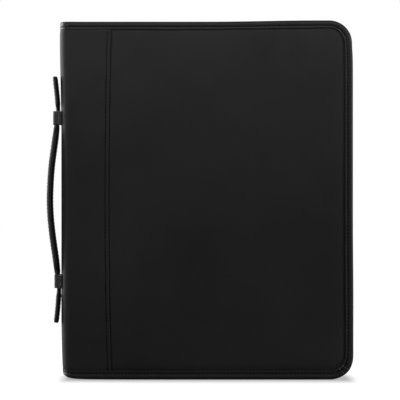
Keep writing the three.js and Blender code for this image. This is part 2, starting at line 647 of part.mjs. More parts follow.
// One of the card slots, each lapping the one above.
function cardSlot(side, index) {
  const xMin = SPINE_X + POCKET_SPINE_MARGIN + CARD_SLOT_MARGIN;
  const base = CARD_SLOT_BASE + (CARD_SLOT_COUNT - 1 - index) * CARD_SLOT_STEP;
  const top = base + CARD_SLOT_HEIGHT;
  const shape = new THREE.Shape();
  shape.moveTo(xMin, base);
  shape.lineTo(xMin + CARD_SLOT_WIDTH, base);
  shape.lineTo(xMin + CARD_SLOT_WIDTH, top);
  shape.lineTo(xMin + CARD_SLOT_WIDTH / 2 + CARD_THUMB_RADIUS, top);
  shape.absarc(xMin + CARD_SLOT_WIDTH / 2, top, CARD_THUMB_RADIUS, 0, -Math.PI, true);
  shape.lineTo(xMin, top);
  shape.closePath();
  const depth = POCKET_FACE_DEPTH + index * CARD_SLOT_THICKNESS;
  return slab(shape, layerSpan(side, depth, depth + CARD_SLOT_THICKNESS), 4);
}

// A round loop for a pen, with a flat foot sewn to the lining.
function penLoop(side) {
  const outer = PEN_LOOP_BORE / 2 + PEN_LOOP_WALL;
  const centreX = EDGE_X - PEN_LOOP_MARGIN;
  const centreY = side * (HALF_THICKNESS - INNER_DEPTH - outer);
  const foot = side * (HALF_THICKNESS - INNER_DEPTH);
  const tilt = PEN_LOOP_FOOT_ANGLE * (Math.PI / 180);
  const shape = new THREE.Shape();
  const start = side * (Math.PI / 2 - tilt);
  const reach = outer * Math.sin(tilt) + PEN_LOOP_FOOT;
  shape.moveTo(centreX - reach, foot);
  shape.lineTo(centreX + reach, foot);
  shape.lineTo(centreX + reach, foot - side * PEN_LOOP_WALL);
  shape.absarc(centreX, centreY, outer, start, Math.PI - start, side > 0);
  shape.lineTo(centreX - reach, foot - side * PEN_LOOP_WALL);
  shape.closePath();
  const bore = new THREE.Path();
  bore.absarc(centreX, centreY, PEN_LOOP_BORE / 2, 0, 2 * Math.PI, side < 0);
  shape.holes.push(bore);
  return column(shape, PEN_LOOP_HEIGHT, PEN_LOOP_HEIGHT + PEN_LOOP_LENGTH, 8);
}

function buildInterior() {
  add("document_pocket", pocket(FRONT, DOCUMENT_POCKET_HEIGHT), materials.lining);
  for (let i = 0; i < CARD_SLOT_COUNT; i++) {
    add(`card_slot_${i + 1}`, cardSlot(FRONT, i), materials.lining);
  }
  add("pad_pocket", pocket(BACK, PAD_POCKET_HEIGHT), materials.lining);
  add("pen_loop", penLoop(BACK), materials.leather);
}

function buildZipEnds() {
  for (const [name, side] of SIDES) {
    add(`${name}_zip_end_tab_bottom`, endTab(side, false), materials.leather);
    add(`${name}_zip_end_tab_top`, endTab(side, true), materials.leather);
  }
  add("zip_slider", zipSlider(), materials.zipMetal);
  add("zip_pull", zipPull(), materials.zipMetal);
}

// The spine: leather that turns into both covers, board, lining, and a binding over each end.
function buildSpine() {
  const flatHalf = HALF_THICKNESS - HINGE_RADIUS;
  const inset = BINDING_WIDTH + CLEARANCE;
  const turnX = SPINE_X + HINGE_RADIUS;
  const innerRadius = HINGE_RADIUS - OVERLAY_THICKNESS;
  const shape = new THREE.Shape();
  shape.absarc(turnX, -flatHalf, HINGE_RADIUS, -Math.PI / 2, -Math.PI, true);
  shape.absarc(turnX, flatHalf, HINGE_RADIUS, Math.PI, Math.PI / 2, true);
  shape.absarc(turnX, flatHalf, innerRadius, Math.PI / 2, Math.PI, false);
  shape.absarc(turnX, -flatHalf, innerRadius, -Math.PI, -Math.PI / 2, false);
  shape.closePath();
  add("spine_leather", column(shape, inset, BINDER_HEIGHT - inset), materials.leather);

  const boardHalf = flatHalf - CLEARANCE;
  const boardX = SPINE_X + OVERLAY_THICKNESS;
  const liningX = SPINE_X + SPINE_LINING_DEPTH;
  const ends = [PANEL_INSET, BINDER_HEIGHT - PANEL_INSET];
  const layer = (xMin, xMax) => box(xMin, xMax, -boardHalf, boardHalf, ...ends);
  const holes = rivetHeights().map((z) => shankHole(z));
  add("spine_board", solidOf(layer(boardX, liningX)).subtract(wasm.Manifold.union(holes)), materials.board);
  const lining = solidOf(layer(liningX, SPINE_INNER_X)).subtract(wasm.Manifold.union(holes));
  add("spine_lining", lining, materials.lining);
  add("spine_binding_bottom", spineBinding(false), materials.binding);
  add("spine_binding_top", spineBinding(true), materials.binding);
}

// The binding's section swept across one end of the spine and round both hinges.
function spineBinding(top) {
  const share = SPINE_BINDING_DEPTH / INNER_DEPTH;
  const section = bindingSection().map(([inset, depth]) => [inset, depth * share]);
  const flatHalf = HALF_THICKNESS - HINGE_RADIUS;
  const turnX = SPINE_X + HINGE_RADIUS;
  const stations = [];
  for (const [centreY, firstAngle] of [[-flatHalf, 270], [flatHalf, 180]]) {
    for (let step = 0; step <= HINGE_STEPS; step++) {
      const angle = THREE.MathUtils.degToRad(firstAngle - (90 * step) / HINGE_STEPS);
      stations.push({ centreY, outX: Math.cos(angle), outY: Math.sin(angle) });
    }
  }
  const rings = stations.map(({ centreY, outX, outY }) =>
    section.map(([inset, depth]) => {
      const radius = HINGE_RADIUS - depth;
      return [turnX + radius * outX, centreY + radius * outY, top ? BINDER_HEIGHT - inset : inset];
    }),
  );
  return loft(rings, section);
}

const rivetHeights = () => [MIDDLE_Z - RIVET_SPAN / 2, MIDDLE_Z + RIVET_SPAN / 2];

// A hole along X for a rivet's shank, through board, lining and cover plate.
function shankHole(z) {
  const radius = RIVET_SHANK_RADIUS + CLEARANCE;
  const length = SPINE_INNER_DEPTH + PLATE_CROWN + RIVET_HEAD_HEIGHT;
  const hole = new THREE.CylinderGeometry(radius, radius, length, ROUND_SIDES);
  const middleX = SPINE_X + OVERLAY_THICKNESS + length / 2 - LAP;
  return solidOf(hole.rotateZ(Math.PI / 2).translate(middleX, 0, z));
}

const ringHeights = () =>
  Array.from({ length: RING_COUNT }, (_, i) => MIDDLE_Z + (i - (RING_COUNT - 1) / 2) * RING_SPACING);

// Heights above the spine's lining become X, and distances across the spine become Y.
const onSpine = (height, across) => [SPINE_INNER_X + height, across];

// Arched cover plate with turned-in lips, slots for the rings, rivet holes, and cheeks that hold the levers.
function coverPlate() {
  const sideTop = PLATE_SIDE_HEIGHT;
  const innerHalf = PLATE_HALF_WIDTH - PLATE_WALL;
  const lipEnd = PLATE_HALF_WIDTH - PLATE_LIP;
  const lipTop = PLATE_FOOT + PLATE_WALL;
  const arch = (half, crown, base) =>
    Array.from({ length: PLATE_ARCH_STEPS + 1 }, (_, i) => {
      const across = -half + (half * 2 * i) / PLATE_ARCH_STEPS;
      return onSpine(base + (crown - base) * (1 - (across / half) ** 2), across);
    });
  const outline = [
    onSpine(PLATE_FOOT, -PLATE_HALF_WIDTH),
    ...arch(PLATE_HALF_WIDTH, PLATE_CROWN, sideTop),
    onSpine(PLATE_FOOT, PLATE_HALF_WIDTH),
    onSpine(PLATE_FOOT, lipEnd),
    onSpine(lipTop, lipEnd),
    onSpine(lipTop, innerHalf),
    ...arch(innerHalf, PLATE_CROWN - PLATE_WALL, sideTop - PLATE_WALL / 4).reverse(),
    onSpine(lipTop, -innerHalf),
    onSpine(lipTop, -lipEnd),
    onSpine(PLATE_FOOT, -lipEnd),
  ];
  const half = PLATE_LENGTH / 2;
  const cuts = rivetHeights().map((z) => shankHole(z));
  for (const z of ringHeights()) {
    for (const side of [FRONT, BACK]) {
      const ends = [side * (PLATE_HALF_WIDTH - RING_SLOT_REACH), side * (PLATE_HALF_WIDTH + 1)];
      const slotEnd = RING_SLOT_WIDTH / 2;
      const xMin = SPINE_INNER_X + lipTop;
      const xMax = SPINE_INNER_X + PLATE_CROWN + 1;
      cuts.push(solidOf(box(xMin, xMax, Math.min(...ends), Math.max(...ends), z - slotEnd, z + slotEnd)));
    }
  }
  for (const end of [-1, 1]) {
    const ends = [MIDDLE_Z + end * (half - LEVER_NOTCH), MIDDLE_Z + end * (half + 1)];
    const xMin = SPINE_INNER_X - 1;
    const xMax = SPINE_INNER_X + PLATE_CROWN + 1;
    cuts.push(solidOf(box(xMin, xMax, -lipEnd, lipEnd, Math.min(...ends), Math.max(...ends))));
    cuts.push(solidOf(leverPin(end, CLEARANCE)));
  }
  const plate = column(polygon(outline), MIDDLE_Z - half, MIDDLE_Z + half);
  return solidOf(plate).subtract(wasm.Manifold.union(cuts));
}

// A flat strip along one leaf, between two offsets from the leaf's middle plane.
function leafStrip(side, lower, upper) {
  const droop = THREE.MathUtils.degToRad(LEAF_DROOP);
  const width = LEAF_PIVOT_HALF_WIDTH - LEAF_MIDDLE_GAP / 2;
  const along = (distance, offset) =>
    onSpine(
      LEAF_PIVOT_HEIGHT - distance * Math.sin(droop) + offset * Math.cos(droop),
      side * (LEAF_PIVOT_HALF_WIDTH - distance * Math.cos(droop) - offset * Math.sin(droop)),
    );
  const outline = [along(0, lower), along(width, lower), along(width, upper), along(0, upper)];
  return column(polygon(outline), MIDDLE_Z - LEAF_LENGTH / 2, MIDDLE_Z + LEAF_LENGTH / 2);
}

// One of the two leaves that carry the half rings, pivoting at its outer edge inside the cover plate's lip.
function ringLeaf(side) {
  const leaf = leafStrip(side, -LEAF_THICKNESS / 2, LEAF_THICKNESS / 2);
  const notches = rivetHeights().map((z) => {
    const height = 3 * LEAF_PIVOT_HEIGHT;
    const notch = new THREE.CylinderGeometry(RIVET_NOTCH_RADIUS, RIVET_NOTCH_RADIUS, height, ROUND_SIDES);
    return solidOf(notch.rotateZ(Math.PI / 2).translate(SPINE_INNER_X + LEAF_PIVOT_HEIGHT, 0, z));
  });
  return solidOf(leaf).subtract(wasm.Manifold.union(notches));
}

// Half a ring, from its leaf round to the middle, where it meets the other half.
function halfRing(side, z) {
  const footAngle = Math.acos((LEAF_PIVOT_HEIGHT - RING_CENTRE_HEIGHT) / RING_RADIUS);
  const tipAngle = CLEARANCE / 2 / RING_RADIUS;
  const wire = new THREE.Shape();
  wire.absarc(0, 0, RING_WIRE_RADIUS, 0, 2 * Math.PI, false);
  const path = new THREE.Curve();
  path.getPoint = (t, target = new THREE.Vector3()) => {
    const angle = tipAngle + (footAngle - tipAngle) * t;
    const height = RING_CENTRE_HEIGHT + RING_RADIUS * Math.cos(angle);
    return target.set(...onSpine(height, side * RING_RADIUS * Math.sin(angle)), z);
  };
  const options = {
    extrudePath: path,
    steps: RING_STEPS,
    curveSegments: RING_SIDES / 2,
    bevelEnabled: false,
  };
  const below = leafStrip(side, -3 * RING_WIRE_RADIUS, LEAF_THICKNESS / 2 + CLEARANCE);
  return solidOf(new THREE.ExtrudeGeometry(wire, options)).subtract(solidOf(below));
}

function rivet(z) {
  const top = PLATE_CROWN + CLEARANCE;
  const foot = -(SPINE_INNER_DEPTH - OVERLAY_THICKNESS);
  const dome = [0, 30, 60, 90].map((degrees) => {
    const angle = THREE.MathUtils.degToRad(degrees);
    return new THREE.Vector2(RIVET_HEAD_RADIUS * Math.cos(angle), top + RIVET_HEAD_HEIGHT * Math.sin(angle));
  });
  dome[dome.length - 1].x = 0;
  const profile = [
    new THREE.Vector2(0, foot),
    new THREE.Vector2(RIVET_SHANK_RADIUS, foot),
    new THREE.Vector2(RIVET_SHANK_RADIUS, top),
    ...dome,
  ];
  return new THREE.LatheGeometry(profile, ROUND_SIDES).rotateZ(-Math.PI / 2).translate(SPINE_INNER_X, 0, z);
}

const leverPivotZ = (end) => MIDDLE_Z + end * (PLATE_LENGTH / 2 - LEVER_PIN_INSET);

// Pin through both cheeks, or with a margin the hole for it.
function leverPin(end, margin) {
  const radius = LEVER_PIN_RADIUS + margin;
  const pin = new THREE.CylinderGeometry(radius, radius, 2 * (PLATE_HALF_WIDTH + margin), ROUND_SIDES);
  return pin.translate(SPINE_INNER_X + LEVER_PIN_HEIGHT, 0, leverPivotZ(end));
}

// Thumb lever at one end: a barrel round the pin and a round-ended tab that leans outwards.
function lever(end) {
  const barrelHalf = PLATE_HALF_WIDTH - PLATE_LIP - CLEARANCE;
  const barrelRadius = LEVER_BARREL_RADIUS;
  const barrel = new THREE.CylinderGeometry(barrelRadius, barrelRadius, 2 * barrelHalf, ROUND_SIDES);
  const half = LEVER_WIDTH / 2;
  const tab = new THREE.Shape();
  tab.moveTo(0, -half);
  tab.lineTo(LEVER_LENGTH - LEVER_ROUND, -half);
  tab.absarc(LEVER_LENGTH - LEVER_ROUND, -half + LEVER_ROUND, LEVER_ROUND, -Math.PI / 2, 0, false);
  tab.absarc(LEVER_LENGTH - LEVER_ROUND, half - LEVER_ROUND, LEVER_ROUND, 0, Math.PI / 2, false);
  tab.lineTo(0, half);
  tab.closePath();
  const plate = column(tab, -LEVER_THICKNESS / 2, LEVER_THICKNESS / 2, 4);
  plate.rotateY(-end * THREE.MathUtils.degToRad(90 - LEVER_TILT));
  const boreRadius = LEVER_PIN_RADIUS + LEVER_BORE_GAP;
  const bore = new THREE.CylinderGeometry(boreRadius, boreRadius, 3 * barrelHalf, ROUND_SIDES);
  const body = joined(barrel, plate).subtract(solidOf(bore));
  return geometryOf(body).translate(SPINE_INNER_X + LEVER_PIN_HEIGHT, 0, leverPivotZ(end));
}

function buildRingMechanism() {
  add("ring_cover_plate", coverPlate(), materials.chrome);
  rivetHeights().forEach((z, i) => add(`ring_rivet_${i ? "upper" : "lower"}`, rivet(z), materials.chrome));
  for (const [name, side] of SIDES) {
    add(`ring_leaf_${name}`, ringLeaf(side), materials.chrome);
    ringHeights().forEach((z, i) => add(`half_ring_${name}_${i + 1}`, halfRing(side, z), materials.chrome));
  }
  for (const [name, end] of [["lower", -1], ["upper", 1]]) {
    add(`ring_lever_${name}`, lever(end), materials.chrome);
    add(`ring_lever_pin_${name}`, leverPin(end, 0), materials.chrome);
  }
}

// How far the strap's middle stands out from the spine, at a height from the middle of the spine.
function strapOffset(height) {
  const away = Math.abs(height);
  if (away < KEEPER_CENTRE) {
    const share = (1 + Math.cos((Math.PI * away) / KEEPER_CENTRE)) / 2;
    return STRAP_KEEPER_OFFSET + (STRAP_MIDDLE_OFFSET - STRAP_KEEPER_OFFSET) * share ** STRAP_ARCH_POWER;
  }
  const share = (away - KEEPER_CENTRE) / (STRAP_HALF_LENGTH - KEEPER_CENTRE);
  return STRAP_KEEPER_OFFSET + (STRAP_TAIL_OFFSET - STRAP_KEEPER_OFFSET) * share ** 2;
}

// A length of strap seen from the front, through stations of [height, thickness]. A slant opens a bend's
// closing side.
function strapSide(stations, innerSlant = [0, 0], outerSlant = [0, 0]) {
  const last = stations.length - 1;
  const edge = (sign, slant) =>
    stations.map(([height, thickness], i) => {
      const lean = i === 0 ? slant[0] : i === last ? -slant[1] : 0;
      return [SPINE_X - strapOffset(height) + (sign * thickness) / 2, MIDDLE_Z + height + lean];
    });
  return polygon([...edge(1, innerSlant), ...edge(-1, outerSlant).reverse()]);
}

// Trims a strap to its width as seen from the spine's side, with each [height, half width] corner in turn.
function trimmedStrap(side, corners) {
  const full = slab(side, [-STRAP_WIDTH, STRAP_WIDTH]);
  const right = corners.map(([height, half]) => [half, MIDDLE_Z + height]);
  const left = corners.map(([height, half]) => [-half, MIDDLE_Z + height]).reverse();
  const options = { depth: 4 * STRAP_REACH, bevelEnabled: false };
  const face = new THREE.ExtrudeGeometry(polygon([...right, ...left]), options);
  face.rotateX(Math.PI / 2).rotateZ(Math.PI / 2).translate(SPINE_X - 3 * STRAP_REACH, 0, 0);
  return solidOf(full).intersect(solidOf(face));
}

// Stations of one thickness from one height to another, at most a strap step apart.
function evenly(from, to, thickness) {
  const count = Math.ceil((to - from) / STRAP_STEP);
  return Array.from({ length: count + 1 }, (_, i) => [from + ((to - from) * i) / count, thickness]);
}

function handleGrip() {
  const end = GRIP_HALF_LENGTH - CLEARANCE / 2;
  const half = STRAP_WIDTH / 2;
  return trimmedStrap(strapSide(evenly(-end, end, STRAP_THICKNESS)), [[-end, half], [end, half]]);
}

// The stretch between the grip and the keeper, narrowing to the neck.
function handleLeg(end) {
  const start = GRIP_HALF_LENGTH + CLEARANCE / 2;
  const stop = LEG_END - CLEARANCE / 2;
  const taperStart = stop - STRAP_TAPER;
  const stations = [...evenly(start, taperStart, STRAP_THICKNESS), [stop, STRAP_LEG_END_THICKNESS]];
  const corners = [
    [start - LAP, STRAP_WIDTH / 2],
    [taperStart, STRAP_WIDTH / 2],
    [stop, STRAP_NECK_WIDTH / 2],
    [stop + LAP, STRAP_NECK_WIDTH / 2],
  ];
  return mirroredStrap(end, stations, corners, [BEND_GAP, 0], [0, BEND_GAP]);
}

// The neck that slides in the keeper and the thicker, wider tail that stops against it.
function handleTail(end) {
  const start = LEG_END + CLEARANCE / 2;
  const stop = STRAP_HALF_LENGTH;
  const half = STRAP_WIDTH / 2;
  const neckHalf = STRAP_NECK_WIDTH / 2;
  const neckEnd = TAIL_START - TAIL_SHOULDER;
  const stations = [
    ...evenly(start, neckEnd, STRAP_NECK_THICKNESS),
    ...evenly(TAIL_START, stop, STRAP_TAIL_THICKNESS),
  ];
  const round = [0, 30, 60, 90].map((degrees) => {
    const angle = THREE.MathUtils.degToRad(degrees);
    return [stop + TAIL_ROUND * (Math.sin(angle) - 1), half + TAIL_ROUND * (Math.cos(angle) - 1)];
  });
  const corners = [[start - LAP, neckHalf], [neckEnd, neckHalf], [TAIL_START, half], ...round];
  return mirroredStrap(end, stations, corners);
}

// A strap piece of the upper half, or the same turned over for the lower half.
function mirroredStrap(end, stations, corners, innerSlant, outerSlant) {
  const upper = geometryOf(trimmedStrap(strapSide(stations, innerSlant, outerSlant), corners));
  if (end > 0) {
    return upper;
  }
  return upper.translate(-SPINE_X, 0, -MIDDLE_Z).rotateX(Math.PI).translate(SPINE_X, 0, MIDDLE_Z);
}

// A leather loop over the strap's neck, with a flange on each side sewn flat to the spine.
function keeper(end) {
  const inner = STRAP_NECK_WIDTH / 2 + KEEPER_SIDE_GAP;
  const outer = inner + KEEPER_WALL;
  const foot = outer + KEEPER_FLANGE;
  const outside = [
    [0, foot],
    [KEEPER_WALL, foot],
    [KEEPER_WALL, outer + KEEPER_ROUND],
    [KEEPER_WALL + KEEPER_ROUND, outer],
    [KEEPER_REACH - 2 * KEEPER_ROUND, outer],
    [KEEPER_REACH - KEEPER_CHAMFER, outer - KEEPER_CHAMFER],
    [KEEPER_REACH, outer - 2 * KEEPER_ROUND],
  ];
  const inside = [
    [0, inner],
    [KEEPER_REACH - KEEPER_WALL - KEEPER_ROUND, inner],
    [KEEPER_REACH - KEEPER_WALL, inner - KEEPER_ROUND],
  ];
  const mirrored = (points) => points.map(([out, across]) => [out, -across]);
  const outline = [...outside, ...mirrored(outside).reverse(), ...mirrored(inside), ...[...inside].reverse()];
  const centre = MIDDLE_Z + end * KEEPER_CENTRE;
  const shape = polygon(outline.map(([out, across]) => [SPINE_X - out, across]));
  return column(shape, centre - KEEPER_HEIGHT / 2, centre + KEEPER_HEIGHT / 2);
}

function buildHandle() {
  add("handle_grip", handleGrip(), materials.strap);
  for (const [name, end] of [["lower", -1], ["upper", 1]]) {
    add(`handle_leg_${name}`, handleLeg(end), materials.strap);
    add(`handle_tail_${name}`, handleTail(end), materials.strap);
    add(`handle_keeper_${name}`, keeper(end), materials.strap);
  }
}

buildSpine();
for (const [name, side] of SIDES) {
  buildCover(name, side);
  buildZipWall(name, side);
}
buildZipEnds();
buildInterior();
buildRingMechanism();
buildHandle();

export default binder;
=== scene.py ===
# Zip-around ring binder in black fine-grain leather, standing closed on a pale floor.
from math import acos, copysign, cos, exp, hypot, pi, radians, sin, sqrt

import bpy
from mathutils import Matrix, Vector


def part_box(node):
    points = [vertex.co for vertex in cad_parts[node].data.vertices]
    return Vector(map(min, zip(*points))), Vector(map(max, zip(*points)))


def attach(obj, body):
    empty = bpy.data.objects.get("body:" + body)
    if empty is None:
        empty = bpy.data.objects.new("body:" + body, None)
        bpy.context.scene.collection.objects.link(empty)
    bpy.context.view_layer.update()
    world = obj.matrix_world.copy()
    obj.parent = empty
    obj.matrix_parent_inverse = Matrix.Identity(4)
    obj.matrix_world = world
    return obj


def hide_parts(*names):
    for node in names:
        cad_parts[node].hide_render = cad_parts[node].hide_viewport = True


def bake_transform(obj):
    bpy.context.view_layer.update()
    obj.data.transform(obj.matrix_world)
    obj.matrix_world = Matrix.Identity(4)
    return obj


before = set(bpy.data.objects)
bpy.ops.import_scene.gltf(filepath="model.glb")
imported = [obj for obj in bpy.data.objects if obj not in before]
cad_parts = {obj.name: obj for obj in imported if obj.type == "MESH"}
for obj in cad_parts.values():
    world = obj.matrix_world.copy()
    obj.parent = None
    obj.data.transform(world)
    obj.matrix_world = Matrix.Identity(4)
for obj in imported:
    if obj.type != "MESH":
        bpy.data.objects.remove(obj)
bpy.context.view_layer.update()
bpy.ops.object.select_all(action="DESELECT")

MM = 0.001
FRONT = -1
BACK = 1
SIDES = (("front", FRONT), ("back", BACK))
ENDS = (("lower", -1), ("upper", 1))
UP = Vector((0, 0, 1))
RIGHT = Vector((1, 0, 0))

# Sizes taken from the frame
SPINE_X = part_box("spine_leather")[0].x
BINDING_LOW, BINDING_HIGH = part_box("front_binding")
EDGE_X = BINDING_HIGH.x
HEIGHT = BINDING_HIGH.z
MIDDLE_Z = HEIGHT / 2
HALF_THICKNESS = -BINDING_LOW.y
COVER_DEPTH = BINDING_HIGH.y - BINDING_LOW.y
SEAM_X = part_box("front_spine_flap")[1].x
SPINE_INNER_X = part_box("spine_lining")[1].x
SPINE_DEPTH = SPINE_INNER_X - SPINE_X + 1.0 * MM
GUSSET_START_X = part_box("front_gusset")[0].x
GUSSET_END_Y = -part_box("front_gusset")[1].y
TAPE_START_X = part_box("front_zip_tape")[0].x
TAPE_END_Y = -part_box("front_zip_tape")[1].y
TAPE_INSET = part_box("front_zip_tape")[0].z

# Sizes of the soft pieces
CORNER_RADIUS = 23 * MM
TURN_REACH = 11 * MM
SPINE_SQUARENESS = 2.4
SPINE_BOARD_HALF = 14 * MM
TOP_BINDING_WIDTH = 7.4 * MM
BINDING_WIDTH = 7.8 * MM
FOOT_BINDING_WIDTH = 8.7 * MM
LEATHER = 1.0 * MM
SEAM_BOW = 2.4 * MM
PANEL_SINK = 1.7 * MM
PANEL_PUFF = 1.8 * MM
PANEL_PUFF_REACH = 4.8 * MM
LINING_INSET = 7.0 * MM
LINING_TURN = 2.2 * MM
POCKET_DIP = 9 * MM
NOTCH_RADIUS = 9 * MM
PEN_BORE = 5 * MM
PEN_LOOP_WALL = 1.2 * MM

# Stitches: where they run, how far apart they are, and the length and width of each
STITCH_SHARE = 0.67
INNER_STITCH = 3.9 * MM
SEAM_STITCH = 3.3 * MM
STITCH_PITCH = 3.5 * MM
POCKET_PITCH = 3.2 * MM
SLOT_PITCH = 3.0 * MM
BINDING_THREAD = (2.5 * MM, 0.85 * MM)
SEAM_THREAD = (2.4 * MM, 0.85 * MM)
POCKET_THREAD = (2.3 * MM, 0.45 * MM)
SLOT_THREAD = (2.1 * MM, 0.4 * MM)
STRAP_THREAD = (2.4 * MM, 0.6 * MM)


def srgb(level):
    """A grey of the photograph's scale, 0 to 255, as linear light."""
    share = level / 255
    return share / 12.92 if share <= 0.04045 else ((share + 0.055) / 1.055) ** 2.4


def smooth(share):
    """A share from 0 to 1 that starts and ends gently."""
    share = min(max(share, 0.0), 1.0)
    return share * share * (3 - 2 * share)


def press(distance, reach):
    """How much a padded surface is pressed down at a distance from what presses it, 0 to 1."""
    return exp(-max(distance, 0.0) / reach)


def dent(distance, reach):
    """How deep a round-bottomed groove or swell is at a distance from its middle, 0 to 1."""
    return exp(-((distance / reach) ** 2))


def evenly(start, end, count):
    return [start + (end - start) * i / count for i in range(count + 1)]


def spaced(start, end, fine, coarse, edge):
    """Places from start to end, fine within edge of each end and coarse between."""
    places = [start]
    while places[-1] < end - fine * 0.5:
        near = min(places[-1] - start, end - places[-1])
        step = fine if near < edge else min(coarse, fine + (near - edge) * 0.5)
        places.append(min(places[-1] + step, end))
    places[-1] = end
    return places


# Materials

GRAIN_SCALE = 1000.0
GRAIN_STIR = (0.0006, 0.0006, 0.0006)
WORN_EDGE = (0.53, 0.62)
HIDE_DARK = (0.82, 0.82, 0.83)
HIDE_PALE = (1.18, 1.17, 1.15)
HIDE_WORN = (2.2, 2.0, 1.8)
YARN_DARK = (0.75, 0.75, 0.75)
YARN_PALE = (1.3, 1.3, 1.3)
METAL_DULL = 0.82
FIBRE_DARK = 0.75


def put(tree, socket, value):
    """Sets a socket to a value, or links it from another socket."""
    if isinstance(value, bpy.types.NodeSocket):
        tree.links.new(value, socket)
    else:
        socket.default_value = value


def fill(tree, node, **inputs):
    for name, value in inputs.items():
        put(tree, node.inputs[name.replace("_", " ")], value)
    return node


def add_node(tree, kind, **inputs):
    return fill(tree, tree.nodes.new(kind), **inputs)


def new_material(name, base, roughness, metallic=0.0, specular=0.5):
    """A material, its tree and its shader."""
    material = bpy.data.materials.new(name)
    material.use_nodes = True
    tree = material.node_tree
    shader = tree.nodes["Principled BSDF"]
    fill(tree, shader, Base_Color=(*base, 1), Roughness=roughness)
    fill(tree, shader, Metallic=metallic, Specular_IOR_Level=specular)
    return material, tree, shader


def group_with(name, sockets_in, sockets_out):
    """A node group, the outputs of its start and its end node."""
    group = bpy.data.node_groups.new(name, "ShaderNodeTree")
    for socket, value in sockets_in.items():
        made = group.interface.new_socket(socket, in_out="INPUT", socket_type="NodeSocketFloat")
        made.default_value = value
    for socket in sockets_out:
        group.interface.new_socket(socket, in_out="OUTPUT", socket_type="NodeSocketFloat")
    start = group.nodes.new("NodeGroupInput")
    end = group.nodes.new("NodeGroupOutput")
    return group, start.outputs, end


def object_place(tree):
    return tree.nodes.new("ShaderNodeTexCoord").outputs["Object"]


def noise(tree, place, scale, detail, **more):
    return add_node(tree, "ShaderNodeTexNoise", Vector=place, Scale=scale, Detail=detail, **more).outputs


def math_node(tree, operation, *values):
    node = tree.nodes.new("ShaderNodeMath")
    node.operation = operation
    for socket, value in zip(node.inputs, values):
        put(tree, socket, value)
    return node.outputs[0]


def ranged(tree, value, low, high, start=0.3, end=0.7):
    """A value from start to end spread over low to high."""
    span = {"From_Min": start, "From_Max": end, "To_Min": low, "To_Max": high}
    return add_node(tree, "ShaderNodeMapRange", Value=value, **span).outputs["Result"]


def mixed(tree, factor, first, second):
    """A colour between two, each a colour or a socket."""
    node = tree.nodes.new("ShaderNodeMix")
    node.data_type = "RGBA"
    put(tree, node.inputs["Factor"], factor)
    for name, value in (("A", first), ("B", second)):
        put(tree, node.inputs[name], (*value, 1) if isinstance(value, tuple) else value)
    return node.outputs["Result"]


def tinted(base, shares):
    return tuple(base * share for share in shares)


def make_grain_group():
    """Pebbled leather grain with softer creases, a slow change of tone over the hide, and worn edges."""
    sockets_in = {"Grain Scale": GRAIN_SCALE, "Crease Scale": 240.0, "Crease Share": 0.5}
    group, start, end = group_with("leather_grain", sockets_in, ["Height", "Tone", "Wear"])
    place = object_place(group)
    stir = noise(group, place, 400.0, 2.0)["Color"]
    shift = group.nodes.new("ShaderNodeVectorMath")
    shift.operation = "MULTIPLY_ADD"
    for socket, value in zip(shift.inputs, (stir, GRAIN_STIR, place)):
        put(group, socket, value)
    pebble = group.nodes.new("ShaderNodeTexVoronoi")
    pebble.feature = "DISTANCE_TO_EDGE"
    fill(group, pebble, Vector=shift.outputs[0], Scale=start["Grain Scale"])
    flat = math_node(group, "MINIMUM", pebble.outputs["Distance"], 0.5)
    dome = math_node(group, "POWER", flat, 0.5)
    crease = noise(group, place, start["Crease Scale"], 4.0)["Fac"]
    rough = math_node(group, "MULTIPLY", crease, start["Crease Share"])
    tone = noise(group, place, 11.0, 5.0, Roughness=0.6)["Fac"]
    edge = group.nodes.new("ShaderNodeNewGeometry").outputs["Pointiness"]
    wear = math_node(group, "MULTIPLY", ranged(group, edge, 0.0, 1.0, *WORN_EDGE), crease)
    fill(group, end, Height=math_node(group, "ADD", dome, rough), Tone=tone, Wear=wear)
    return group


def make_weave_group():
    """Plain weave: two sets of threads that pass over each other in turn, and a fleck in the yarn."""
    group, start, end = group_with("weave", {"Threads": 1600.0}, ["Height", "Fleck"])
    place = object_place(group)
    parts = add_node(group, "ShaderNodeSeparateXYZ", Vector=place).outputs
    waves = []
    for coordinate in (math_node(group, "ADD", parts["X"], parts["Y"]), parts["Z"]):
        turned = math_node(group, "MULTIPLY", coordinate, start["Threads"])
        waves.append(math_node(group, "SINE", math_node(group, "MULTIPLY", turned, pi)))
    fleck = noise(group, place, 900.0, 3.0)["Fac"]
    fill(group, end, Height=math_node(group, "MULTIPLY", *waves), Fleck=fleck)
    return group


def make_polish_group():
    """Fine scratches and smears on metal."""
    group, start, end = group_with("polish", {"Scratch Scale": 900.0}, ["Height", "Smear"])
    place = object_place(group)
    stretched = add_node(group, "ShaderNodeMapping", Vector=place, Scale=(1.0, 1.0, 0.08)).outputs[0]
    scratch = noise(group, stretched, start["Scratch Scale"], 2.0)["Fac"]
    fill(group, end, Height=scratch, Smear=noise(group, place, 60.0, 3.0)["Fac"])
    return group


GRAIN = make_grain_group()
WEAVE = make_weave_group()
POLISH = make_polish_group()


def place_group(tree, group, **inputs):
    node = tree.nodes.new("ShaderNodeGroup")
    node.node_tree = group
    return fill(tree, node, **inputs).outputs


def bump_into(tree, shader, height, strength, distance):
    bump = add_node(tree, "ShaderNodeBump", Height=height, Strength=strength, Distance=distance)
    fill(tree, shader, Normal=bump.outputs["Normal"])


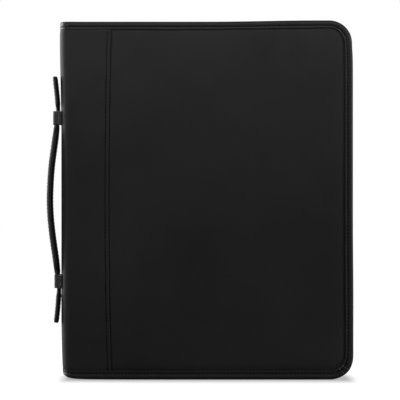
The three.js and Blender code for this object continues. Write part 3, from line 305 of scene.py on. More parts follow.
def leather_material(name, grey, roughness, grain_depth, specular):
    """Black leather: a grained surface whose tone and gloss wander, rubbed paler on its edges."""
    base = srgb(grey)
    material, tree, shader = new_material(name, (base, base, base), roughness, specular=specular)
    grain = place_group(tree, GRAIN, Grain_Scale=GRAIN_SCALE)
    bump_into(tree, shader, grain["Height"], 1.0, grain_depth)
    tone = ranged(tree, grain["Tone"], 0.0, 1.0)
    hide = mixed(tree, tone, tinted(base, HIDE_DARK), tinted(base, HIDE_PALE))
    worn = mixed(tree, grain["Wear"], hide, tinted(base, HIDE_WORN))
    gloss = ranged(tree, grain["Tone"], roughness + 0.05, roughness - 0.05)
    fill(tree, shader, Base_Color=worn, Roughness=gloss)
    return material


def cloth_material(name, grey, threads, depth, sheen=0.1, specular=0.2):
    """Woven cloth or thread, with darker and paler yarn."""
    base = srgb(grey)
    material, tree, shader = new_material(name, (base, base, base), 0.85, specular=specular)
    weave = place_group(tree, WEAVE, Threads=threads)
    bump_into(tree, shader, weave["Height"], 0.6, depth)
    fleck = ranged(tree, weave["Fleck"], 0.0, 1.0)
    yarn = mixed(tree, fleck, tinted(base, YARN_DARK), tinted(base, YARN_PALE))
    fill(tree, shader, Sheen_Weight=sheen, Base_Color=yarn)
    return material


def metal_material(name, colour, roughness, depth):
    """Metal with fine scratches, duller where it is smeared."""
    material, tree, shader = new_material(name, colour, roughness, metallic=1.0)
    polish = place_group(tree, POLISH)
    bump_into(tree, shader, polish["Height"], 0.4, depth)
    smear = ranged(tree, polish["Smear"], 0.0, 1.0)
    metal = mixed(tree, smear, tinted(METAL_DULL, colour), colour)
    gloss = ranged(tree, polish["Smear"], roughness + 0.08, roughness - 0.04)
    fill(tree, shader, Base_Color=metal, Roughness=gloss)
    return material


def fibre_material(name, colour, roughness, depth, scale):
    """Pressed board or foam: a fine random surface with specks."""
    material, tree, shader = new_material(name, colour, roughness, specular=0.2)
    fibre = noise(tree, object_place(tree), scale, 6.0)["Fac"]
    bump_into(tree, shader, fibre, 0.5, depth)
    speck = mixed(tree, ranged(tree, fibre, 0.0, 1.0), tinted(FIBRE_DARK, colour), colour)
    fill(tree, shader, Base_Color=speck)
    return material


COVER_LEATHER = leather_material("cover_leather", 32, 0.62, 0.00010, 0.13)
BINDING_LEATHER = leather_material("binding_leather", 20, 0.44, 0.00007, 0.24)
STRAP_LEATHER = leather_material("strap_leather", 23, 0.42, 0.00007, 0.5)
INNER_LEATHER = leather_material("inner_leather", 30, 0.5, 0.00008, 0.3)
LINING_CLOTH = cloth_material("lining_cloth", 58, 1600.0, 0.00008)
TAPE_CLOTH = cloth_material("tape_cloth", 32, 1100.0, 0.00012)
THREAD = cloth_material("thread", 5, 4000.0, 0.00005, sheen=0.0, specular=0.06)
CHROME = metal_material("chrome", (0.78, 0.78, 0.79), 0.14, 0.00001)
ZIP_METAL = metal_material("zip_metal", (0.42, 0.42, 0.43), 0.3, 0.00002)
BOARD_FIBRE = fibre_material("board_fibre", (0.27, 0.24, 0.19), 0.9, 0.0001, 900.0)
FOAM = fibre_material("foam", (0.04, 0.04, 0.04), 0.95, 0.0002, 1500.0)

# The finish of each node by a word of its name, the first that fits
NODE_FINISHES = {
    "board": BOARD_FIBRE,
    "padding": FOAM,
    "teeth": ZIP_METAL,
    "zip_slider": ZIP_METAL,
    "zip_pull": ZIP_METAL,
    "ring": CHROME,
    "lining": LINING_CLOTH,
    "pocket": LINING_CLOTH,
    "card_slot": INNER_LEATHER,
    "tape": TAPE_CLOTH,
    "handle": STRAP_LEATHER,
    "binding": BINDING_LEATHER,
}


def finish_nodes():
    for name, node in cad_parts.items():
        found = [finish for word, finish in NODE_FINISHES.items() if word in name]
        node.data.materials.clear()
        node.data.materials.append(found[0] if found else COVER_LEATHER)


finish_nodes()


# Sheets of leather and cloth


def mesh_piece(name, corners, faces, material):
    mesh = bpy.data.meshes.new(name)
    mesh.from_pydata([tuple(corner) for corner in corners], [], faces)
    mesh.update()
    piece = bpy.data.objects.new(name, mesh)
    bpy.context.collection.objects.link(piece)
    mesh.materials.append(material)
    return piece


def sheet_from_rows(name, rows, material, closed=False):
    """A mesh sheet through rows of points, each row as long as the next, or a closed tube of them."""
    width = len(rows[0])
    corners = [point for row in rows for point in row]
    faces = []
    for r in range(len(rows) - 1):
        for c in range(width if closed else width - 1):
            d = (c + 1) % width
            faces.append((r * width + c, r * width + d, (r + 1) * width + d, (r + 1) * width + c))
    if closed:
        last = (len(rows) - 1) * width
        faces.append(tuple(reversed(range(width))))
        faces.append(tuple(range(last, last + width)))
    return mesh_piece(name, corners, faces, material)


def only(piece):
    bpy.ops.object.select_all(action="DESELECT")
    piece.select_set(True)
    bpy.context.view_layer.objects.active = piece


def edit_all(piece):
    """Opens a piece in edit mode with all of it selected."""
    only(piece)
    bpy.ops.object.mode_set(mode="EDIT")
    bpy.ops.mesh.select_all(action="SELECT")


def face_outwards(piece):
    edit_all(piece)
    bpy.ops.mesh.normals_make_consistent(inside=False)
    bpy.ops.object.mode_set(mode="OBJECT")


def face_along(piece, outward, face=0):
    """Turns a sheet over if its face looks away from outward."""
    if piece.data.polygons[face].normal.dot(outward) < 0:
        piece.data.flip_normals()


def smooth_over(piece, degrees=50):
    only(piece)
    bpy.ops.object.shade_smooth_by_angle(angle=radians(degrees))
    return piece


def thicken(piece, thickness, outward):
    """Gives a sheet its thickness behind the side whose first face looks along outward."""
    only(piece)
    face_along(piece, outward)
    wall = piece.modifiers.new("wall", "SOLIDIFY")
    wall.thickness = thickness
    wall.offset = -1
    bpy.ops.object.modifier_apply(modifier="wall")
    return smooth_over(piece)


def thick_sheet(name, rows, material, thickness, outward):
    return thicken(sheet_from_rows(name, rows, material), thickness, outward)


# Shape of the used case


def spine_lean(z):
    """How far the spine has moved along X at height z."""
    high = smooth((z - 235 * MM) / (95 * MM))
    foot = max(0.0, 1 - z / (60 * MM)) ** 1.6
    return (1.6 * foot - 1.5 * high - 1.05) * MM


def settle(point):
    """Moves a point as use has moved the soft case.

    The spine leans with its height, the free edge spreads at its foot and draws in at its top corner, the
    cover rises towards that corner, and the spine is lifted a little at both its ends.
    """
    run = max(point.x - SPINE_X, 0.0)
    lean = exp(-run / (16 * MM)) * spine_lean(point.z)
    low = smooth((160 * MM - point.z) / (90 * MM))
    spread = (0.35 + 0.5 * low) * MM * smooth(point.x / (140 * MM))
    top_corner = dent(HEIGHT - point.z - 22 * MM, 11 * MM)
    foot_corner = dent(point.z - 7 * MM, 7 * MM)
    near_edge = smooth((point.x - EDGE_X + 30 * MM) / (24 * MM))
    spread += (0.8 * foot_corner - 0.75 * top_corner) * MM * near_edge
    rise = 1.3 * MM * smooth((point.x - 5 * MM) / (110 * MM)) * smooth((point.z - 100 * MM) / (240 * MM))
    heel = 3.6 * exp(-run / (4.5 * MM)) + 1.4 * exp(-run / (16 * MM))
    lift = heel * MM * exp(-point.z / (6 * MM))
    head = 1.5 * MM * exp(-run / (3 * MM)) * exp((point.z - HEIGHT) / (12 * MM))
    return point + Vector((lean + spread, 0, rise + lift + head))


def skin_profile(side):
    """Places and outward directions round the bulged spine, from its middle to the flat of a cover."""
    profile = []
    for angle in evenly(0, pi / 2, 30):
        back = cos(angle) ** (2 / SPINE_SQUARENESS)
        across = sin(angle) ** (2 / SPINE_SQUARENESS)
        place = Vector((SPINE_X + TURN_REACH * (1 - back), side * HALF_THICKNESS * across, 0))
        out_x = back ** (SPINE_SQUARENESS - 1) / TURN_REACH
        out_y = across ** (SPINE_SQUARENESS - 1) / HALF_THICKNESS
        profile.append((place, Vector((-out_x, side * out_y, 0)).normalized()))
    return profile


def spine_bulge(y):
    """How far the bulged spine has fallen back from its middle at a place across it."""
    share = min(abs(y) / HALF_THICKNESS, 1.0)
    return TURN_REACH * (1 - (1 - share**SPINE_SQUARENESS) ** (1 / SPINE_SQUARENESS))


def binding_width(z):
    """The binding is a little wider towards the foot."""
    width = TOP_BINDING_WIDTH + (BINDING_WIDTH - TOP_BINDING_WIDTH) * smooth((HEIGHT - z) / HEIGHT)
    return width + (FOOT_BINDING_WIDTH - BINDING_WIDTH) * smooth((32 * MM - z) / (30 * MM))


def seam_shift(z):
    """How far the seam has moved towards the spine at height z."""
    share = (z - MIDDLE_Z) / (HEIGHT / 2 - BINDING_WIDTH)
    return SEAM_BOW * max(0.0, 1 - share**2)


def across_hinge(piece):
    """Bakes a piece's place into its mesh; the piece is attached to no body."""
    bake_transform(piece)


# Stitches

THREAD_SIDES = 6
# A stitch in section along its length: place, thickness and lift, as shares of its length and width
THREAD_SECTIONS = (
    (-0.5, 0.35, -0.35), (-0.36, 0.9, 0.1), (0.0, 1.0, 0.3), (0.36, 0.9, 0.1), (0.5, 0.35, -0.35),
)


def stitch_line(name, places, thread):
    """Thread stitches at places of (middle, direction, outward), short beads sunk into the leather."""
    length, width = thread
    ring = THREAD_SIDES
    corners = []
    faces = []
    for middle, direction, outward in places:
        across = direction.cross(outward).normalized()
        first = len(corners)
        for along, size, lift in THREAD_SECTIONS:
            centre = middle + direction * (along * length) + outward * (lift * width * 0.5)
            for k in range(ring):
                angle = 2 * pi * k / ring
                offset = across * cos(angle) + outward * sin(angle)
                corners.append(centre + offset * (width * 0.5 * size))
        for s in range(len(THREAD_SECTIONS) - 1):
            for k in range(ring):
                n = (k + 1) % ring
                a = first + s * ring
                faces.append((a + k, a + n, a + ring + n, a + ring + k))
        faces.append(tuple(first + k for k in reversed(range(ring))))
        end = first + (len(THREAD_SECTIONS) - 1) * ring
        faces.append(tuple(end + k for k in range(ring)))
    piece = mesh_piece(name, corners, faces, THREAD)
    face_outwards(piece)
    return smooth_over(piece, 60)


def stitches_along(points, outward):
    """Places for stitches at points in a line; outward is one direction or one for each point."""
    places = []
    for i, point in enumerate(points):
        ahead = points[min(i + 1, len(points) - 1)]
        behind = points[max(i - 1, 0)]
        out = outward[i] if isinstance(outward, list) else outward
        places.append((point, (ahead - behind).normalized(), out))
    return places


# Wrap, spine board and panels

# The wrap's edge in section, as distances back from the edge and depths, in mm
SEAM_SECTION = (
    (9.0, 0.0), (7.0, 0.0), (5.4, 0.02), (4.4, 0.08), (3.9, 0.2), (3.6, 0.36), (3.3, 0.42), (3.0, 0.36),
    (2.7, 0.12), (2.3, -0.1), (1.7, -0.22), (1.0, -0.2), (0.5, -0.04), (0.15, 0.28), (0.0, 0.8), (0.0, 1.5),
)
WRAP_UNDER = 1.4 * MM


def make_wrap(name, side):
    """Leather from the middle of the spine, over the hinge, to the seam on the cover."""
    profile = skin_profile(side)
    turn_end = profile[-1][0].x
    flat_end = SEAM_X - 9 * MM
    foot = FOOT_BINDING_WIDTH - WRAP_UNDER
    head = HEIGHT - TOP_BINDING_WIDTH + WRAP_UNDER
    rows = []
    for z in spaced(foot, head, 0.55 * MM, 4 * MM, 5 * MM):
        free = min(z - FOOT_BINDING_WIDTH, HEIGHT - z - TOP_BINDING_WIDTH)
        sink = 0.95 * press(free + 0.4 * MM, 1.3 * MM)
        shift = seam_shift(z)
        stitch = cos(2 * pi * z / STITCH_PITCH)
        row = []
        for place, out in profile:
            ripple = 0.1 * MM * sin(place.y * 210 + 1) * sin(z * 33 + 1.3)
            row.append(place + UP * z - out * (sink * MM + ripple * (1 - sink)))
        for x in evenly(turn_end, flat_end, 8)[1:-1]:
            moved = x - shift * (x - turn_end) / (SEAM_X - turn_end)
            row.append(Vector((moved, side * (HALF_THICKNESS - sink * MM), z)))
        for back, depth in SEAM_SECTION:
            pucker = 0.14 * stitch if 2.5 < back < 4.5 else 0
            scallop = 0.12 * stitch if back < 1 else 0
            low = max(depth, sink) + pucker
            x = SEAM_X - shift - (back + scallop) * MM
            row.append(Vector((x, side * (HALF_THICKNESS - low * MM), z)))
        rows.append([settle(point) for point in row])
    return thick_sheet(name, rows, COVER_LEATHER, LEATHER, -RIGHT)


def seam_stitches(name, side):
    points = []
    z = FOOT_BINDING_WIDTH + 2 * MM
    while z < HEIGHT - BINDING_WIDTH - 2 * MM:
        x = SEAM_X - seam_shift(z) - SEAM_STITCH
        points.append(settle(Vector((x, side * (HALF_THICKNESS - 0.38 * MM), z))))
        z += STITCH_PITCH
    return stitch_line(name, stitches_along(points, Vector((0, side, 0))), SEAM_THREAD)


def make_spine_board(name):
    """The board inside the spine, cut to lie behind the rounded turns of the leather."""
    low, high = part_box("spine_board")
    foot = low.z + 9 * MM
    head = high.z - 5 * MM
    bpy.ops.object.select_all(action="DESELECT")
    bpy.ops.mesh.primitive_cube_add(size=1, location=((low.x + high.x) / 2, 0, (foot + head) / 2))
    piece = bpy.context.object
    piece.name = name
    piece.scale = (high.x - low.x - 0.2 * MM, 2 * SPINE_BOARD_HALF, head - foot)
    bpy.ops.object.transform_apply(location=True, rotation=True, scale=True)
    edit_all(piece)
    bpy.ops.mesh.bevel(offset=0.7 * MM, segments=3, affect="EDGES")
    bpy.ops.object.mode_set(mode="OBJECT")
    piece.data.materials.append(BOARD_FIBRE)
    return smooth_over(piece)


def round_corner(x, z):
    """A point of a square-cornered field, moved so that its corners at the free edge are round.

    Gives the new place and its distance from the cover's edge.
    """
    corner_x = EDGE_X - CORNER_RADIUS
    corner_z = min(max(z, CORNER_RADIUS), HEIGHT - CORNER_RADIUS)
    dx = max(x - corner_x, 0.0)
    dz = z - corner_z
    if dx > 0 and dz:
        squeeze = max(dx, abs(dz)) / hypot(dx, dz)
        dx *= squeeze
        dz *= squeeze
        return corner_x + dx, corner_z + dz, CORNER_RADIUS - hypot(dx, dz)
    return x, z, min(EDGE_X - x, z, HEIGHT - z)


def make_panel(name, side):
    """The padded field of a cover, pressed down under the binding and the wrap's edge."""
    inset = TOP_BINDING_WIDTH - 1.0 * MM
    rows = []
    for z in spaced(inset, HEIGHT - inset, 0.6 * MM, 5 * MM, 11 * MM):
        row = []
        for x in spaced(SEAM_X - 6 * MM, EDGE_X - inset, 0.45 * MM, 5 * MM, 11 * MM):
            px, pz, edge = round_corner(x, z)
            under_binding = press(edge - binding_width(pz), PANEL_PUFF_REACH)
            under_wrap = press(px - (SEAM_X - seam_shift(pz)) - 0.5 * MM, 0.8 * MM)
            free = (1 - under_binding) * (1 - 0.85 * under_wrap)
            wave = 0.14 * MM * sin(px * 37 + 0.8) * sin(pz * 29 + 0.4)
            depth = PANEL_SINK - PANEL_PUFF * free + wave * free
            row.append(settle(Vector((px, side * (HALF_THICKNESS - depth), pz))))
        rows.append(row)
    return thick_sheet(name, rows, COVER_LEATHER, LEATHER, Vector((0, side, 0)))


# Binding


def edge_stations(side, step, start_x=None):
    """Stations along a cover's three edges, from the top at start_x round to the bottom.

    Each holds a point of the edge, the way inwards over the face, the way into the layers, the layers'
    depth and how strongly the leather is gathered there. Without start_x the way begins and ends at the
    middle of the spine.
    """
    corner_x = EDGE_X - CORNER_RADIUS
    into = Vector((0, -side, 0))
    y = side * HALF_THICKNESS

    def turn(z, inward):
        stations = []
        profile = skin_profile(side)
        spans = [(ahead[0] - here[0]).length for here, ahead in zip(profile, profile[1:])]
        count = round(sum(spans) / step)
        for i in range(count):
            rest = sum(spans) * (i + 0.5) / count
            k = 0
            while k < len(spans) - 1 and rest > spans[k]:
                rest -= spans[k]
                k += 1
            share = rest / spans[k]
            point = profile[k][0].lerp(profile[k + 1][0], share) + UP * z
            out = profile[k][1].lerp(profile[k + 1][1], share).normalized()
            depth = SPINE_DEPTH + (COVER_DEPTH - SPINE_DEPTH) * smooth((point.x - SPINE_X) / TURN_REACH)
            stations.append((point, inward, -out, depth, 0.0))
        return stations

    def straight(start, end, inward):
        count = round((end - start).length / step)
        return [(start.lerp(end, (i + 0.5) / count), inward, into, COVER_DEPTH, 0.0) for i in range(count)]

    def corner(z, first):
        stations = []
        count = round(CORNER_RADIUS * pi / 2 / step)
        for i in range(count):
            share = (i + 0.5) / count
            angle = radians(first - 90 * share)
            out = Vector((cos(angle), 0, sin(angle)))
            point = Vector((corner_x, y, z)) + CORNER_RADIUS * out
            stations.append((point, -out, into, COVER_DEPTH, sin(pi * share)))
        return stations

    flat_start = SPINE_X + TURN_REACH if start_x is None else start_x
    high = HEIGHT - CORNER_RADIUS
    stations = turn(HEIGHT, -UP) if start_x is None else []
    stations += straight(Vector((flat_start, y, HEIGHT)), Vector((corner_x, y, HEIGHT)), -UP)
    stations += corner(high, 90)
    stations += straight(Vector((EDGE_X, y, high)), Vector((EDGE_X, y, CORNER_RADIUS)), -RIGHT)
    stations += corner(CORNER_RADIUS, 0)
    stations += straight(Vector((corner_x, y, 0)), Vector((flat_start, y, 0)), UP)
    if start_x is None:
        stations += reversed(turn(0, UP))
    return stations


def measured(stations):
    """Each station with the distance travelled to it."""
    travelled = 0.0
    before = stations[0][0]
    for station in stations:
        travelled += (station[0] - before).length
        before = station[0]
        yield travelled, *station


# The binding in section. Outer face: share of the width in from the edge, and depth in mm
BINDING_OUTER = (
    (0.99, 1.7), (1.0, 1.2), (1.0, 0.7), (0.98, 0.34), (0.95, 0.2), (0.91, 0.16), (0.87, 0.2), (0.825, 0.32),
    (0.78, 0.5), (0.735, 0.62), (0.69, 0.64), (0.64, 0.54), (0.57, 0.36), (0.49, 0.2), (0.4, 0.12),
    (0.31, 0.14), (0.21, 0.32), (0.125, 0.7), (0.055, 1.3), (0.01, 2.0), (0.0, 2.7),
)
# Inner face: distance in from the edge and depth, both in mm
BINDING_INNER = (
    (0.08, 1.9), (0.32, 1.2), (0.75, 0.66), (1.3, 0.28), (2.0, 0.08), (3.0, 0.06), (3.6, 0.3), (3.9, 0.42),
    (4.2, 0.3), (4.7, 0.08), (5.2, 0.1),
)
BINDING_STEP = 0.8 * MM
GATHER_PITCH = 3.1 * MM
GATHER_HEIGHT = 0.34 * MM
END_LAP_REACH = 6.9 * MM


def make_binding(name, side):
    """Leather folded over the edge, from the spine's middle round the cover and back to the spine."""
    rows = []
    for travelled, point, inward, into, depth, gather in measured(edge_stations(side, BINDING_STEP)):
        width = binding_width(point.z)
        stitch = cos(2 * pi * travelled / STITCH_PITCH)
        sway = 0.14 * MM * sin(travelled * 61) + 0.1 * MM * sin(travelled * 147 + 2)
        fold = sin(2 * pi * travelled / GATHER_PITCH) + 0.5 * sin(travelled * 900 + 1)
        over_end = smooth((SPINE_X + END_LAP_REACH - point.x) / (0.5 * MM)) if point.z == 0 else 0
        row = []
        for share, outer in BINDING_OUTER:
            lift = 0.14 * MM * stitch * max(0.0, 1 - abs(share - STITCH_SHARE) / 0.2)
            lift += GATHER_HEIGHT * gather * fold * smooth(share / 0.25) * smooth((1.1 - share) / 0.3)
            lift -= 0.35 * MM * over_end * smooth(share / 0.15)
            moved = share * width + (sway if share > STITCH_SHARE else 0)
            row.append(point + inward * moved + into * (outer * MM + lift))
        for inset, inner in BINDING_INNER:
            lift = 0.12 * MM * gather * fold * smooth(inset / 2)
            row.append(point + inward * inset * MM + into * (depth - inner * MM + lift))
        rows.append([settle(place) for place in row])
    return thick_sheet(name, rows, BINDING_LEATHER, 0.7 * MM, -UP)


def binding_stitches(name, side):
    """A row of stitches on the binding's outer face and one on its inner face."""
    outer = []
    inner = []
    stations = edge_stations(side, STITCH_PITCH)
    for point, inward, into, depth, _ in stations:
        inset = STITCH_SHARE * binding_width(point.z)
        outer.append(settle(point + inward * inset + into * 0.6 * MM))
        inner.append(settle(point + inward * INNER_STITCH + into * (depth - 0.4 * MM)))
    places = stitches_along(outer, [-station[2] for station in stations])
    places += stitches_along(inner, [station[2] for station in stations])
    return stitch_line(name, places, BINDING_THREAD)


# Lining, pockets and card slots


def make_lining(name, side):
    """Cloth from the middle of the spine, round inside the hinge and over the cover's inner face."""
    inner_y = HALF_THICKNESS - COVER_DEPTH
    turn = LINING_TURN
    rows = []
    for z in spaced(LINING_INSET, HEIGHT - LINING_INSET, 1.2 * MM, 8 * MM, 6 * MM):
        row = []
        for y in evenly(0, inner_y - turn, 5):
            row.append(Vector((SPINE_INNER_X, side * y, z)))
        for i in range(1, 8):
            angle = pi / 2 * i / 8
            x = SPINE_INNER_X + turn * (1 - cos(angle))
            row.append(Vector((x, side * (inner_y - turn + turn * sin(angle)), z)))
        for x in spaced(SPINE_INNER_X + turn, EDGE_X - LINING_INSET, 1.2 * MM, 8 * MM, 6 * MM):
            px, pz, edge = round_corner(x, z)
            ripple = 0.12 * MM * sin(px * 61) * sin(pz * 47 + 2) * smooth((edge - 9 * MM) / (20 * MM))
            row.append(Vector((px, side * (inner_y + 0.1 * MM + ripple), pz)))
        rows.append(row)
    piece = thick_sheet(name, rows, LINING_CLOTH, 0.5 * MM, RIGHT)
    return piece


def mouth_dip(across):
    """How far a pocket's mouth is cut down at a share of its width."""
    return POCKET_DIP * 4 * across * (1 - across)


def sewn_edges(low, high, inset, from_top, spare, step):
    """Stitches as (x, z): down a pocket's one side, along its bottom and up its other side."""
    foot = low.z + inset
    down = range(int((high.z - low.z - spare) / step))
    along = range(int((high.x - low.x - 2 * inset) / step))
    places = [(low.x + inset, high.z - from_top - i * step) for i in down]
    places += [(low.x + inset + i * step, foot) for i in along]
    return places + [(high.x - inset, foot + i * step) for i in down]


def make_pocket(name, node, side, material):
    """A pocket's panel, a little full in the middle, with a folded hem along its dipped mouth."""
    low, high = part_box(node)
    mouth, base_y = sorted((abs(low.y), abs(high.y)))
    width = high.x - low.x
    length = high.z - low.z
    inward = Vector((0, -side, 0))
    rows = []
    for level in spaced(0, length, 1.0 * MM, 6 * MM, 5 * MM):
        top = length - level
        hem = smooth((6.5 * MM - top) / (0.7 * MM)) * 0.25 * MM
        groove = 0.2 * MM * dent(top - 5.2 * MM, 0.5 * MM)
        row = []
        for x in spaced(low.x, high.x, 1.0 * MM, 6 * MM, 5 * MM):
            z = low.z + level - mouth_dip((x - low.x) / width) * smooth((level / length - 0.5) / 0.5)
            seam = press(min(x - low.x, high.x - x, level), 2.5 * MM)
            depth = (base_y - mouth - 0.2 * MM) * (1 - seam) + 0.35 * MM
            row.append(Vector((x, side * (base_y - depth - hem + groove + 0.2 * MM), z)))
        rows.append(row)
    piece = thick_sheet(name, rows, material, 0.45 * MM, inward)
    step = POCKET_PITCH
    points = sewn_edges(low, high, 2 * MM, 6 * MM, 8 * MM, step)
    line = [Vector((x, side * (base_y - 0.85 * MM), z)) for x, z in points]
    hem_line = []
    for i in range(int((width - 6 * MM) / step)):
        x = low.x + 3 * MM + i * step
        z = high.z - mouth_dip((x - low.x) / width) - 5.2 * MM
        hem_line.append(Vector((x, side * (mouth - 0.12 * MM), z)))
    places = stitches_along(line, inward) + stitches_along(hem_line, inward)
    return piece, stitch_line(f"{name}_stitches", places, POCKET_THREAD)


def make_card_slot(name, node, side):
    """A leather card slot with a thumb notch in its mouth and turned edges."""
    low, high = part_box(node)
    inner = min(abs(low.y), abs(high.y))
    middle = (low.x + high.x) / 2
    inward = Vector((0, -side, 0))
    notched = evenly(middle - 10 * MM, middle + 10 * MM, 24)
    columns = sorted(set(spaced(low.x, high.x, 0.8 * MM, 4 * MM, 3 * MM) + notched))
    rows = []
    for share in [0, 0.012, 0.03, 0.06] + evenly(0.1, 0.9, 8) + [0.94, 0.965, 0.985, 1.0]:
        row = []
        for x in columns:
            notch = sqrt(max(NOTCH_RADIUS**2 - (x - middle) ** 2, 0.0))
            z = low.z + share * (high.z - notch * smooth((share - 0.2) / 0.8) - low.z)
            edge = min(x - low.x, high.x - x, z - low.z)
            hem = 0.3 * MM * smooth((3.6 * MM - (high.z - notch - z)) / (0.5 * MM))
            groove = 0.12 * MM * dent(edge - 1.8 * MM, 0.5 * MM)
            y = inner + 0.1 * MM + 0.15 * MM * press(edge, 0.6 * MM) - hem + groove
            row.append(Vector((x, side * y, z)))
        rows.append(row)
    piece = thick_sheet(name, rows, INNER_LEATHER, 0.45 * MM, inward)
    mouth = []
    for x in evenly(low.x + 4 * MM, high.x - 4 * MM, 30):
        if abs(x - middle) > NOTCH_RADIUS + 1 * MM:
            mouth.append(Vector((x, side * (inner - 0.2 * MM), high.z - 2.2 * MM)))
    points = sewn_edges(low, high, 1.8 * MM, 2 * MM, 3 * MM, SLOT_PITCH)
    line = [Vector((x, side * (inner + 0.1 * MM), z)) for x, z in points]
    places = stitches_along(line, inward) + stitches_along(mouth, inward)
    return piece, stitch_line(f"{name}_stitches", places, SLOT_THREAD)


def make_pen_loop(name, side):
    """A leather loop for a pen, its two ends sewn flat to the lining."""
    low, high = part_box("pen_loop")
    wall = PEN_LOOP_WALL
    bend = PEN_BORE + wall / 2
    centre_x = (low.x + high.x) / 2
    foot_y = max(abs(low.y), abs(high.y))
    centre_y = foot_y - PEN_BORE - wall
    flange_y = foot_y - wall / 2 - 0.1 * MM
    path = [(x, flange_y) for x in evenly(low.x, centre_x - 4.6 * MM, 5)]
    for i in range(25):
        angle = radians(-128 + 256 * i / 24)
        path.append((centre_x + bend * sin(angle), centre_y - bend * cos(angle)))
    path += [(x, flange_y) for x in evenly(centre_x + 4.6 * MM, high.x, 5)]
    rows = []
    for z in spaced(low.z, high.z, 0.5 * MM, 5 * MM, 1.5 * MM):
        groove = 0.18 * MM * dent(min(z - low.z, high.z - z) - 2.2 * MM, 0.5 * MM)
        row = []
        for x, y in path:
            out = Vector((x - centre_x, y - centre_y, 0)).normalized()
            place = Vector((x, y, 0)) + out * (wall / 2 - groove if abs(y - foot_y) > 1.4 * MM else 0)
            row.append(Vector((place.x, side * min(place.y, foot_y - 0.15 * MM), z)))
        rows.append(row)
    piece = sheet_from_rows(name, rows, INNER_LEATHER)
    face_along(piece, Vector((0, -side, 0)), len(piece.data.polygons) // 2)
    return thicken(piece, wall * 0.7, piece.data.polygons[0].normal.copy())


# Wall between the covers

# The gusset in section: distances in from the edge and depths, both in mm
GUSSET_SECTION = (
    (5.55, 5.2), (5.5, 6.2), (5.5, 7.5), (5.5, 9.0), (5.5, 10.5), (5.5, 12.0), (5.5, 12.8), (5.58, 13.3),
    (5.62, 13.6), (5.58, 13.9), (5.5, 14.4), (5.5, 15.3), (5.66, 15.8), (6.0, 16.0), (6.4, 15.9),
    (6.65, 15.5), (6.7, 14.5), (6.7, 12.0), (6.7, 9.0), (6.65, 6.4),
)
GUSSET_STITCH = (5.55 * MM, 13.6 * MM)


def make_gusset(name, side):
    """Leather wall standing on the cover's edge, folded double along its free edge."""
    scale = (HALF_THICKNESS - GUSSET_END_Y) / (16 * MM)
    stations = edge_stations(side, 1.2 * MM, GUSSET_START_X)
    rows = []
    for travelled, point, inward, into, _, gather in measured(stations):
        fold = 0.12 * MM * gather * sin(2 * pi * travelled / GATHER_PITCH)
        wave = 0.1 * MM * sin(travelled * 120)
        row = []
        for inset, depth in GUSSET_SECTION:
            swell = smooth((depth - 6) / 4) * smooth((13 - depth) / 3)
            moved = inset * MM + (0.25 * MM + fold + wave) * swell * (1 if inset < 6 else 0)
            row.append(point + inward * moved + into * (depth * MM * scale))
        rows.append(row)
    piece = sheet_from_rows(name, rows, INNER_LEATHER)
    face_outwards(piece)
    face_along(piece, UP)
    smooth_over(piece)
    stations = edge_stations(side, POCKET_PITCH, GUSSET_START_X)
    inset, depth = GUSSET_STITCH
    line = [point + inward * inset + into * (depth * scale) for point, inward, into, _, _ in stations]
    places = stitches_along(line, [-station[1] for station in stations])
    return piece, stitch_line(f"{name}_stitches", places, POCKET_THREAD)


def make_tape(name, side):
    """The zip's woven tape, from inside the gusset to the bead of teeth."""
    start = HALF_THICKNESS - 13.9 * MM
    end = HALF_THICKNESS - TAPE_END_Y
    inset = TAPE_INSET + 0.05 * MM
    rows = []
    for point, inward, into, _, _ in edge_stations(side, 2.4 * MM, TAPE_START_X):
        rows.append([point + inward * inset + into * depth for depth in evenly(start, end, 8)])
    piece = thick_sheet(name, rows, TAPE_CLOTH, 0.45 * MM, UP)
    return piece


def make_end_tab(name, node):
    """A leather tab over the end of a tape, with rounded edges."""
    low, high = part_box(node)
    top = low.z > MIDDLE_Z
    out = UP if top else -UP
    outer_z = high.z if top else low.z
    rows = []
    for x in spaced(low.x, high.x, 0.4 * MM, 3 * MM, 1.2 * MM):
        row = []
        for y in spaced(low.y, high.y, 0.4 * MM, 2 * MM, 1.2 * MM):
            edge = min(x - low.x, high.x - x, y - low.y, high.y - y)
            crown = 0.3 * MM * press(edge, 0.5 * MM)
            groove = 0.15 * MM * dent(edge - 1.6 * MM, 0.4 * MM)
            row.append(Vector((x, y, outer_z)) - out * (crown + groove))
        rows.append(row)
    return thick_sheet(name, rows, INNER_LEATHER, 0.8 * MM, out)


# Strap handle

STRAP_STEP = 1.6 * MM
STRAP_HALF_WIDTH = 12.5 * MM
NECK_HALF_WIDTH = 7 * MM
STRAP_HALF_THICKNESS = 2.75 * MM
NECK_HALF_THICKNESS = 1.9 * MM
TAIL_HALF_THICKNESS = 2.1 * MM
KEEPER_LOW, KEEPER_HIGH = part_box("handle_keeper_upper")
KEEPER_CENTRE = (KEEPER_LOW.z + KEEPER_HIGH.z) / 2 - MIDDLE_Z
KEEPER_HALF = (KEEPER_HIGH.z - KEEPER_LOW.z) / 2
KEEPER_WALL = 1.5 * MM
KEEPER_HALF_WIDTH = NECK_HALF_WIDTH + 2.4 * MM
STRAP_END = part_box("handle_tail_upper")[1].z - MIDDLE_Z
STRAP_MIDDLE_Z = MIDDLE_Z + 1.0 * MM
TAIL_CORNER = 6 * MM
ARCH_OFFSET = 12.15 * MM
KEEPER_OFFSET = 4.4 * MM
TAIL_OFFSET = 7.1 * MM
GRIP_BEND = 28 * MM
LEG_BEND = 70 * MM
STRAP_SPLIT = (GRIP_BEND + LEG_BEND) / 2
LEG_STITCH_END = 61 * MM
TAIL_STITCH_START = 92 * MM

